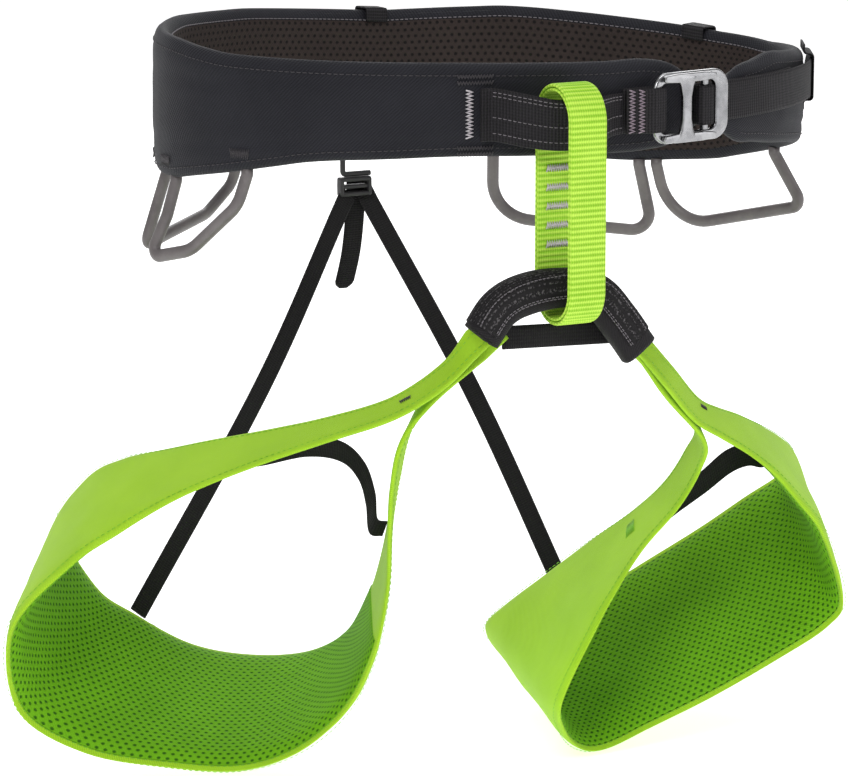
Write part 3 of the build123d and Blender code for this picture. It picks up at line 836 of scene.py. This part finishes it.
def make_belay_loop():
    rib_steps = 6
    line = stadium(rib_steps)
    half = Vector((BELAY_WIDTH / 2, 0, 0))
    edge_a = [p - half for p in line]
    edge_b = [p + half for p in line]

    def relief(i, share, side):
        rib = abs(math.sin(math.pi * i / rib_steps)) - 0.75
        selvedge = soft_step(min(share, 1 - share), 0.04, 0.12)
        edge_cord = math.exp(-((min(share, 1 - share) - 0.055) / 0.03) ** 2)
        return side * (0.34 * rib * selvedge + 0.12 * edge_cord)

    inset = 0.12
    layers = (("outer", -inset), ("inner", -inset - BELAY_LAYER - 0.1))
    for name, top in layers:
        layer = Piece("belay_loop_" + name)
        layer.strip(edge_a, edge_b, top, top - BELAY_LAYER + 0.1, roundness=14, count=12, relief=relief,
                    closed=True)
        layer.build("belay_loop", "webbing_green", ["belay_loop_" + name + "_layer"])
    tacks = Piece("belay_loop_bar_tacks")
    face = BELAY_REAR_Y - 2 * BELAY_LAYER - 0.1
    for row in range(5):
        centre = Vector((BELAY_X + 1, face - 0.35, -17 - 8 * row))
        tacks.zigzag(centre, Vector((1, 0, 0)), Vector((0, 0, 1)), 11, 3.0, 1.15, 0.3)
    tacks.build("belay_loop", "thread_light", ["belay_loop_bartacks"])


def make_waist_tie_in():
    low = smooth_route([Vector((x, y, bottom)) for x, y, bottom, top in WAIST_TIE_IN], 10)
    high = smooth_route([Vector((x, y, top)) for x, y, bottom, top in WAIST_TIE_IN], 10)
    loop = Piece("waist_tie_in_webbing")
    loop.strip(low, high, 1.3, 0.05, roundness=14, count=12)
    loop.strip(low, high, -0.05, -1.3, roundness=14, count=12)
    loop.build("waist_belt", "webbing_black", ["waist_tie_in_loop"])
    normals = strip_normals(low, high)
    thread = Piece("waist_tie_in_stitching")
    for share in (0.16, 0.46, 0.86, 0.93):
        points = [a.lerp(b, share) - n * 1.32 for a, b, n in zip(low, high, normals)]
        thread.stitches(points[8:-4], [-n for n in normals[8:-4]], pitch=2.2, length=1.5, radius=0.2)
    thread.build("waist_belt", "thread_grey", slot="thread_dark")


def sleeve_frames(steps):
    line = smooth_route([Vector((x, SLEEVE_Y, z)) for x, z in SLEEVE_LINE], steps)
    frames = []
    for i, point in enumerate(line):
        along = (line[min(i + 1, len(line) - 1)] - line[max(i - 1, 0)]).normalized()
        frames.append((point, along, along.cross(Vector((0, 1, 0))).normalized()))
    return frames


def sleeve_ring(point, outward, width, depth, sides=36, rounding=3.2):
    ring = []
    for k in range(sides):
        turn = 2 * math.pi * k / sides
        c, s = math.cos(turn), math.sin(turn)
        across = math.copysign(abs(c) ** (2 / rounding), c) * width / 2
        deep = math.copysign(abs(s) ** (2 / rounding), s) * depth / 2
        ring.append(point + outward * across + Vector((0, 1, 0)) * deep)
    return ring


def make_sleeve():
    frames = sleeve_frames(12)
    sides = 36
    across = [1.5 * k for k in range(sides + 1)]
    count = len(frames)
    sleeve = Piece("tie_in_sleeve_fabric")
    rings = []
    order = [5, 3, 1] + list(range(count)) + [count - 2, count - 4, count - 6]
    for step, i in enumerate(order):
        point, _, outward = frames[i]
        tucked = step < 3 or step >= 3 + count
        shrink = 2.6 if tucked else 0.0
        flare = 0.5 * (1 - soft_step(min(i, count - 1 - i), 0, 5))
        pinch = 1.2 * math.exp(-((point.x - BELAY_X) / 11) ** 2)
        swell = wobble(point, 8, 2) * 0.25
        rings.append(sleeve_ring(point, outward, SLEEVE_WIDTH - shrink - pinch + swell,
                                 SLEEVE_DEPTH - shrink - flare, sides))
    sleeve.loft(rings, across)
    sleeve.build("leg_tie_in", "sleeve_plain", ["tie_in_sleeve"], slot="sleeve_black")
    make_sleeve_patch(frames)
    make_sleeve_stitching(frames)


def make_sleeve_patch(frames):
    """Coarse abrasion patch over the upper part of the sleeve's front and back."""
    patch = Piece("tie_in_sleeve_patch")
    first, last = 2, len(frames) - 5
    rings = []
    for i in range(first, last + 1):
        point, _, outward = frames[i]
        pinch = 1.2 * math.exp(-((point.x - BELAY_X) / 11) ** 2)
        full = sleeve_ring(point, outward, SLEEVE_WIDTH - pinch + 1.0, SLEEVE_DEPTH + 0.9, 48)
        thin = sleeve_ring(point, outward, SLEEVE_WIDTH - pinch - 0.6, SLEEVE_DEPTH - 0.6, 48)
        high = range(-14, 15)
        rings.append([full[k % 48] for k in high] + [thin[k % 48] for k in reversed(high)])
    size = len(rings[0])
    patch.loft(rings, [0.9 * (k if k <= size // 2 else size - k) for k in range(size + 1)])
    patch.build("leg_tie_in", "sleeve_black")


def make_sleeve_stitching(frames):
    thread = Piece("tie_in_sleeve_stitching")
    for low, sign in ((-3.4, -1), (-2.5, -1), (-3.4, 1), (6.2, -1)):
        points = []
        for point, _, outward in frames[3:-4]:
            points.append(point + outward * low + Vector((0, sign * (SLEEVE_DEPTH / 2 + 0.42), 0)))
        thread.stitches(points, [Vector((0, sign, 0))] * len(points), pitch=1.9, length=1.35, radius=0.2)
    thread.build("leg_tie_in", "thread_grey", slot="thread_dark")


def make_cross_strap():
    start = Vector((-37, SLEEVE_Y + 7.2, -86))
    end = Vector((18, SLEEVE_Y + 7.2, -88))
    middle = divided([start, end], 2.0)
    half = Vector((0, 0, 5))
    strap = Piece("leg_cross_webbing")
    strap.strip([p - half for p in middle], [p + half for p in middle], 0.8, -0.8, roundness=12, count=9)
    strap.build("leg_tie_in", "elastic_black", ["leg_cross_strap"], slot="webbing_black")


# ---------------------------------------------------------------- buckle and waist strap

class BucklePlane:
    """Point from distances along the belt, up, and outward from it at the buckle."""

    def __init__(self):
        self.along, self.outward = belt_axes(BUCKLE_ANGLE)
        self.origin = belt_point(BUCKLE_ANGLE, 0, STRAP_Z)
        self.up = Vector((0, 0, 1))

    def at(self, u, v, w):
        return self.origin + self.along * u + self.up * v + self.outward * w


PLANE = BucklePlane()


def rounded_outline(left, right, half, radius, corner_steps=10):
    """Rounded rectangle as a loop of points, first corner at the upper right."""
    points = []
    corners = ((right - radius, half - radius, 0), (left + radius, half - radius, 90),
               (left + radius, radius - half, 180), (right - radius, radius - half, 270))
    for x, y, start in corners:
        for k in range(corner_steps + 1):
            turn = math.radians(start + 90 * k / corner_steps)
            points.append((x + radius * math.cos(turn), y + radius * math.sin(turn)))
    return points


def make_buckle_frame():
    base, top, chamfer = 4.6, 7.6, 0.9
    outer = rounded_outline(-21, 21, 15, 8)
    window = rounded_outline(-17, 13.5, 10.5, 3)
    ring_piece = Piece("buckle_frame_forging")
    rings = []
    for (ox, oy), (ix, iy) in zip(outer, window):
        span = math.hypot(ix - ox, iy - oy)
        dx, dy = (ix - ox) / span * chamfer, (iy - oy) / span * chamfer
        section = [(ox + dx, oy + dy, top), (ox + dx * 0.35, oy + dy * 0.35, top - chamfer * 0.35),
                   (ox, oy, top - chamfer), (ox, oy, base + chamfer), (ox + dx, oy + dy, base),
                   (ix - dx, iy - dy, base), (ix, iy, base + chamfer), (ix, iy, top - chamfer),
                   (ix - dx * 0.35, iy - dy * 0.35, top - chamfer * 0.35), (ix - dx, iy - dy, top)]
        rings.append([PLANE.at(x, y, z) for x, y, z in section])
    ring_piece.loft(rings, [k * 1.0 for k in range(len(rings[0]) + 1)], closed=True)
    ring_piece.rod(PLANE.at(8.5, -12, 5.8), PLANE.at(8.5, 12, 5.8), [3.4, 3, 3, 3.4], 2.4, PLANE.outward)
    piece = ring_piece.build("waist_belt", "buckle_metal", ["buckle_frame"])
    bevel_edges(piece)


def make_buckle_slider():
    slider = Piece("buckle_slider_forging")
    middle = 9.1
    slider.rod(PLANE.at(-4.5, -14, middle), PLANE.at(-4.5, 14, middle), [12, 7, 5, 5, 5, 7, 12], 2.4,
               PLANE.outward)
    for side in (-1, 1):
        slider.rod(PLANE.at(-17.2, 12.7 * side, middle - 0.1), PLANE.at(12.2, 12.7 * side, middle - 0.1),
                   [2.6, 3.9, 3.9, 3.9, 2.6], 2.2, PLANE.outward)
    piece = slider.build("buckle_slider", "buckle_metal", ["buckle_slider"])
    bevel_edges(piece)


def bevel_edges(piece):
    """Shades broad faces flat and their chamfers smooth."""
    modifier = piece.modifiers.new("weighted", "WEIGHTED_NORMAL")
    modifier.keep_sharp = True


def buckle_ribbon(piece, route, width, thickness, radii=1.0, count=10):
    """Webbing seen from its edge, along points (u, w) in the buckle's plane."""
    corners = [PLANE.at(u, 0, w) for u, w in route]
    radii = radii if isinstance(radii, list) else [radii] * (len(route) - 2)
    line = divided(rounded_route(corners, radii, 5), 1.5)
    half = PLANE.up * (width / 2)
    piece.strip([p - half for p in line], [p + half for p in line], thickness / 2, -thickness / 2,
                roundness=14, count=count)


def make_buckle_webbing():
    anchor = Piece("buckle_anchor_fold")
    buckle_ribbon(anchor, [(-33, 1.3), (-22, 2.0), (-15.4, 3.0), (-15.4, 8.6), (-22, 8.8), (-33, 3.4)],
                  19, 1.25, [4, 1.2, 1.2, 4])
    anchor.build("waist_belt", "webbing_black", ["buckle_anchor_webbing"])
    tacks = Piece("buckle_anchor_tacks")
    lean = (PLANE.at(-24, 0, 7.9) - PLANE.at(-31, 0, 4.4)).normalized()
    for u, w in ((-27.4, 6.95), (-31.2, 5.15)):
        tacks.zigzag(PLANE.at(u, 0, w), Vector((0, 0, 1)), lean, 18, 2.6, 1.5, 0.28)
    tacks.build("waist_belt", "thread_mauve", slot="thread_light")
    fold = Piece("waist_strap_fold_webbing")
    buckle_ribbon(fold, [(15.5, 0.95), (5.1, 0.95), (5.1, 8.0), (12.2, 8.0), (12.2, 4.9)], STRAP_WIDTH, 1.3,
                  [1.4, 1.4, 1.6])
    fold.build("waist_belt", "webbing_black", ["waist_strap_fold"])


def strap_heights(angle):
    return STRAP_Z + STRAP_WIDTH / 2, STRAP_Z - STRAP_WIDTH / 2


def make_waist_strap():
    upper, lower, angles = belt_edges(-70, -42, strap_heights)
    standing = Piece("waist_strap_standing_webbing")
    standing.strip(upper, lower, 1.6, 0.35, roundness=14, count=10)
    standing.build("waist_belt", "webbing_black", ["waist_strap_standing"])

    def tail_heights(angle):
        tip = max(0.0, (angle + 17.0) / 3.0)
        pull = 8.0 * (1 - math.sqrt(max(0.0, 1 - tip * tip)))
        return STRAP_Z + STRAP_WIDTH / 2 - pull, STRAP_Z - STRAP_WIDTH / 2 + pull

    angles = belt_angles(-70.5, -14.05, 0.5)
    upper = [belt_point(t, 0, tail_heights(t)[0]) for t in angles]
    lower = [belt_point(t, 0, tail_heights(t)[1]) for t in angles]
    tail = Piece("waist_strap_tail_webbing")
    tail.strip(upper, lower, 3.7, 2.45, roundness=14, count=10)
    tail.build("waist_strap_tail", "webbing_black", ["waist_strap_tail"])


def make_strap_keeper():
    """Elastic band round the strap's tail."""
    start, end = -27, -15
    low = STRAP_Z - STRAP_WIDTH / 2 - 1.8
    high = STRAP_Z + STRAP_WIDTH / 2 + 1.8
    section = [(0.5, low - 4), (0.5, low), (4.7, low), (4.7, high), (0.5, high), (0.5, high + 4)]
    lines = []
    for angle in (start, end):
        corners = [belt_point(angle, offset, height) for offset, height in section]
        lines.append(divided(rounded_route(corners, [1.5, 1.6, 1.6, 1.5], 5), 1.5))
    keeper = Piece("strap_keeper_elastic")
    keeper.strip(lines[1], lines[0], 0.5, -0.5, roundness=14, count=10)
    keeper.build("waist_belt", "elastic_black", ["strap_keeper"])


# ---------------------------------------------------------------- rear clip and risers

def make_rear_clip():
    left, right = -5, 9
    wire = [Vector((right, CLIP_Y, -42)), Vector((right, CLIP_Y, -36)), Vector((left, CLIP_Y, -36)),
            Vector((left, CLIP_Y, -48)), Vector((right, CLIP_Y, -48))]
    hook = Piece("rear_hook_moulding")
    hook.tube(divided(rounded_route(wire, [1.5, 1.5, 1.5], 5), 1.5), 1.25, sides=14)
    hook.build("rear_clip", "clip_plastic", ["rear_hook"])
    lock = Piece("riser_lock_moulding")
    for height, width in ((-50.4, 16), (-57.2, 16)):
        lock.rod(Vector((1 - width / 2, CLIP_Y, height)), Vector((1 + width / 2, CLIP_Y, height)),
                 [2.0, 2.2, 2.0], 5.0, Vector((0, 1, 0)))
    for x in (-6.1, 8.1):
        lock.rod(Vector((x, CLIP_Y, -49.4)), Vector((x, CLIP_Y, -58.3)), [1.8, 2, 1.8], 5.0,
                 Vector((0, 1, 0)))
    lock.rod(Vector((-6, CLIP_Y, -53.8)), Vector((8, CLIP_Y, -53.8)), [2, 2, 2], 3.4, Vector((0, 1, 0)))
    lock.build("rear_clip", "clip_plastic", ["riser_lock"])


def make_risers():
    for side, route in RISERS.items():
        points = smooth_route([Vector(p) for p in route], 30)
        along = (points[-1] - points[0]).normalized()
        across = along.cross(Vector((0, 1, 0))).normalized() * (RISER_WIDTH / 2)
        top = points[0] - along * 5.5
        points = [top + (points[0] - top) * (k / 4) for k in range(4)] + points
        riser = Piece("riser_" + side + "_elastic")
        riser.strip([p - across for p in points], [p + across for p in points], 0.75, -0.75, roundness=10,
                    count=9)
        piece = riser.build("riser_" + side, "elastic_black", ["riser_" + side])
        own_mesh(piece)
    tail_points = smooth_route([Vector((4, 0, -52)), Vector((3, 0, -70)), Vector((1, 0, -86)),
                                Vector((-3, 0, -102))], 10)
    edge_a = []
    edge_b = []
    for i, point in enumerate(tail_points):
        left_over = len(tail_points) - 1 - i
        half = 5.0 * math.sqrt(max(0.06, 1 - max(0.0, (2.2 - left_over) / 2.4) ** 2))
        middle = point + Vector((0, CLIP_Y + 4.2, 0))
        edge_a.append(middle - Vector((half, 0, 0)))
        edge_b.append(middle + Vector((half, 0, 0)))
    tail = Piece("riser_tail_elastic")
    tail.strip(edge_a, edge_b, 0.75, -0.75, roundness=10, count=9)
    tail.build("riser_tail", "elastic_black", ["riser_tail"])


# ---------------------------------------------------------------- leg loops

LEG_STEPS = 8


def leg_edges(side):
    """Both edges of a leg loop; its ends are drawn on into the sleeve."""
    stations = LEGS[side][0]
    entry, leave = SLEEVE_ENTRY[side]
    edges = []
    for which in (0, 1):
        line = smooth_route([Vector(station[which]) for station in stations], LEG_STEPS)
        start, end = Vector(entry[which]), Vector(leave[which])
        head = [start.lerp(line[0], k / 4) for k in range(4)]
        edges.append(head + line + [line[-1].lerp(end, k / 4) for k in range(1, 5)])
    upper, front = edges
    return (front, upper) if side == "right" else (upper, front)


def trimmed(edge_a, edge_b, amount):
    inward = [(b - a).normalized() * amount for a, b in zip(edge_a, edge_b)]
    return [a + d for a, d in zip(edge_a, inward)], [b - d for b, d in zip(edge_b, inward)]


# leg pads: how far the mesh and the lining thread are set in, and how the rim thins
MESH_INSET = 2.6
LINING_THREAD_INSET = 2.4
RIM_TAPER = 2.2
RIM_REACH = 5.0


def rim_taper(edge):
    """How much thinner a pad is at this distance from its edge."""
    return RIM_TAPER * math.exp(-(edge / RIM_REACH) ** 2)


def make_leg(side):
    pad_first, pad_last = LEGS[side][1:]
    edge_a, edge_b = leg_edges(side)
    count = len(edge_a)
    first, last = pad_first * LEG_STEPS + 4, pad_last * LEG_STEPS + 4
    ramp = LEG_STEPS * 1.2
    padding = [soft_step(i, first - ramp, first + ramp) * (1 - soft_step(i, last - ramp, last + ramp))
               for i in range(count)]
    inner = [-2.4 - 2.8 * share for share in padding]

    def relief(i, share, face):
        a, b = edge_a[i], edge_b[i]
        width = (b - a).length
        edge = min(share, 1 - share) * width
        if face < 0:
            return rim_taper(edge) * padding[i]
        seam = math.exp(-((edge - 2.6) / 0.6) ** 2)
        place = a.lerp(b, share)
        return -0.22 * seam + (wobble(place, 24, 4) * 0.7 + wobble(place, 8, 6) * 0.15) * padding[i] \
            + wobble(place, 12, 9) * 0.15

    cover = Piece("leg_cover_" + side + "_fabric")
    cover.strip(edge_a, edge_b, 0.0, inner, roundness=10, count=20, relief=relief)
    piece = cover.build("leg_" + side, "fabric_green", ["leg_cover_" + side, "leg_foam_" + side])

    mesh_a, mesh_b = trimmed(edge_a, edge_b, MESH_INSET)
    rise = rim_taper(MESH_INSET)
    lift = [n * rise * pad for n, pad in zip(strip_normals(mesh_a, mesh_b), padding)]
    mesh_a = [point + shift for point, shift in zip(mesh_a, lift)]
    mesh_b = [point + shift for point, shift in zip(mesh_b, lift)]
    panel = slice(first - 2, last + 3)

    def settle(i, share, face):
        place = i + panel.start
        edge = MESH_INSET + min(share, 1 - share) * (mesh_b[place] - mesh_a[place]).length
        return (rim_taper(edge) - rise) * padding[place]

    inner_face = [offset - 0.55 for offset in inner[panel]]
    mesh = Piece("leg_mesh_" + side + "_panel")
    mesh.strip(mesh_a[panel], mesh_b[panel], [offset + 1.2 for offset in inner_face], inner_face,
               roundness=12, count=16, relief=settle)
    mesh.build("leg_" + side, "mesh_green", ["leg_mesh_" + side])
    lining = [offset + rim_taper(LINING_THREAD_INSET) * pad for offset, pad in zip(inner, padding)]
    make_leg_stitching(side, edge_a, edge_b, lining, first, last)


def make_leg_stitching(side, edge_a, edge_b, inner, first, last):
    normals = strip_normals(edge_a, edge_b)
    count = len(edge_a)
    outside = Piece("leg_stitching_" + side)
    binding = Piece("leg_binding_stitching_" + side)
    for inset, near, far in ((2.6, edge_a, edge_b), (2.6, edge_b, edge_a)):
        points = []
        inner_points = []
        for i, (a, b, normal) in enumerate(zip(near, far, normals)):
            toward = (b - a).normalized()
            points.append(a + toward * inset - normal * 0.22)
            inner_points.append(a + toward * LINING_THREAD_INSET + normal * (inner[i] + 0.25))
        outside.stitches(points[2:count - 2], normals[2:count - 2], pitch=2.6, length=1.7, radius=0.17)
        binding.stitches(inner_points[first:last], [-n for n in normals[first:last]], pitch=2.6, length=1.8,
                         radius=0.2)
    outside.build("leg_" + side, "thread_green", slot="fabric_green")
    binding.build("leg_" + side, "thread_green", slot="fabric_green")


# bar tacks on the leg bands: station, place across, size along and across, thread
LEG_TACKS = {
    "right": [(1.7, 0.5, 5.0, 2.2, "thread_dark"), (20.4, 0.5, 5.0, 2.2, "thread_dark")],
    "left": [(2.2, 0.3, 4.5, 2.0, "thread_dark"), (18.9, 0.4, 5.0, 11.0, "thread_green")],
}


def make_leg_tacks(side):
    edge_a, edge_b = leg_edges(side)
    normals = strip_normals(edge_a, edge_b)
    pieces = {}
    for station, share, length, width, thread in LEG_TACKS[side]:
        i = round(station * LEG_STEPS) + 4
        along = (edge_a[i + 1].lerp(edge_b[i + 1], share) - edge_a[i].lerp(edge_b[i], share)).normalized()
        across = normals[i].cross(along).normalized()
        centre = edge_a[i].lerp(edge_b[i], share) + normals[i] * 0.25
        piece = pieces.setdefault(thread, Piece("leg_bar_tacks_" + side + "_" + thread))
        piece.zigzag(centre, along, across, length, width, 0.9, 0.24)
    for thread, piece in pieces.items():
        piece.build("leg_" + side, thread, slot="thread_dark")


def make_riser_seam(side):
    """End of the riser that is sewn to the back of the pad."""
    route = [Vector(p) for p in RISERS[side]]
    along = (route[-1] - route[-2]).normalized()
    across = along.cross(Vector((0, 1, 0))).normalized() * (RISER_WIDTH / 2)
    edge_a, edge_b = leg_edges(side)
    back = min(range(len(edge_a)), key=lambda i: (edge_a[i].lerp(edge_b[i], 0.5) - route[-1]).length)
    upper = edge_b if side == "right" else edge_a
    front = edge_a if side == "right" else edge_b
    down = (front[back] - upper[back]).normalized()
    normal = strip_normals(edge_a, edge_b)[back]
    start = upper[back] - down * 3 + normal * 1.0
    end = upper[back] + down * 14 + normal * 1.0
    wide = normal.cross(down).normalized() * (across.length)
    line = divided([start, end], 2.0)
    seam = Piece("riser_seam_" + side)
    seam.strip([p - wide for p in line], [p + wide for p in line], 0.75, -0.75, roundness=10, count=8)
    seam.build("leg_" + side, "elastic_black")


def make_elastic(side):
    edge_a, edge_b = [smooth_route([Vector(p) for p in edge], 8) for edge in ELASTICS[side]]
    strap = Piece("leg_elastic_" + side + "_webbing")
    strap.strip(edge_a, edge_b, 0.7, -0.7, roundness=10, count=9)
    strap.build("leg_" + side, "elastic_black", ["leg_elastic_" + side])


# ---------------------------------------------------------------- what stays from the frame

def finish_frame_nodes():
    """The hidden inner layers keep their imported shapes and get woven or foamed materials."""
    kept = {
        "belt_foam": "foam",
        "belt_load_webbing": "sleeve_black",
        "gear_loop_anchors": "sleeve_black",
        "tie_in_core_webbing": "foam",
        "leg_front_webbing_left": "foam",
        "leg_front_webbing_right": "foam",
        "leg_rear_webbing_left": "foam",
        "leg_rear_webbing_right": "foam",
    }
    for node, material in kept.items():
        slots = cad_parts[node].material_slots
        for slot in slots:
            slot.material = MATERIALS[material]


# ---------------------------------------------------------------- floor, light and camera

def make_stage():
    low = cad_box[0]
    floor_z = low[2] - 0.0005
    profile = [(-4.0, 0.0), (9.0, 0.0)]
    for k in range(1, 13):
        turn = math.radians(90 * k / 12)
        profile.append((9.0 + math.sin(turn), 1.0 - math.cos(turn)))
    profile.append((10.0, 6.0))
    ahead = Vector((0.463, 0.886, 0))
    side = Vector((ahead.y, -ahead.x, 0))
    points = []
    faces = []
    for i, (far, rise) in enumerate(profile):
        for edge in (-8.0, 8.0):
            place = ahead * far + side * edge
            points.append((place.x, place.y, floor_z + rise))
        if i:
            faces.append((2 * i - 2, 2 * i - 1, 2 * i + 1, 2 * i))
    mesh = bpy.data.meshes.new("studio_sweep")
    mesh.from_pydata(points, [], faces)
    mesh.polygons.foreach_set("use_smooth", [True] * len(mesh.polygons))
    floor = bpy.data.objects.new("studio_sweep", mesh)
    bpy.context.scene.collection.objects.link(floor)
    mesh.materials.append(stage_material("studio_paper", (0.93, 0.93, 0.93), 0.6))


def add_light(name, place, target, size, power):
    data = bpy.data.lights.new(name, "AREA")
    data.shape = "DISK"
    data.size = size
    data.energy = power
    lamp = bpy.data.objects.new(name, data)
    lamp.location = place
    lamp.rotation_euler = (Vector(target) - Vector(place)).to_track_quat("-Z", "Y").to_euler()
    bpy.context.scene.collection.objects.link(lamp)


def make_lights():
    target = (0, -0.05, -0.13)
    add_light("key", (-1.5, -1.6, 1.6), target, 1.1, 30)
    add_light("fill", (1.6, -1.5, 0.5), target, 1.4, 10)
    add_light("top", (0.1, 0.2, 1.9), target, 1.2, 14)
    add_light("back", (0.9, 1.8, 0.9), target, 1.4, 10)
    world = bpy.data.worlds.new("studio_light")
    bpy.context.scene.world = world
    world.use_nodes = True
    background = world.node_tree.nodes["Background"]
    background.inputs[0].default_value = (1.0, 1.0, 1.0, 1.0)
    background.inputs[1].default_value = 0.35


def make_camera():
    data = bpy.data.cameras.new("studio_camera")
    data.sensor_width = 36
    data.lens = 173.7
    camera = bpy.data.objects.new("studio_camera", data)
    camera.location = (-0.838, -1.576, 0.232)
    camera.rotation_euler = (math.radians(90 - 11.497), 0, math.radians(-27.577))
    bpy.context.scene.collection.objects.link(camera)
    bpy.context.scene.camera = camera
    bpy.context.scene.view_settings.view_transform = "Standard"


# ---------------------------------------------------------------- the harness

make_belt()
make_edge_tab("rear_top_tab", 89.5, 94)
make_edge_tab("side_top_tab", 21, 27)
make_waist_bar_tacks()
for loop_name in GEAR_LOOPS:
    make_gear_loop(loop_name)
make_belay_loop()
make_waist_tie_in()
make_sleeve()
make_cross_strap()
make_buckle_frame()
make_buckle_slider()
make_buckle_webbing()
make_waist_strap()
make_strap_keeper()
make_rear_clip()
make_risers()
for leg_side in LEGS:
    make_leg(leg_side)
    make_elastic(leg_side)
    make_leg_tacks(leg_side)
    make_riser_seam(leg_side)
finish_frame_nodes()
make_stage()
make_lights()
make_camera()
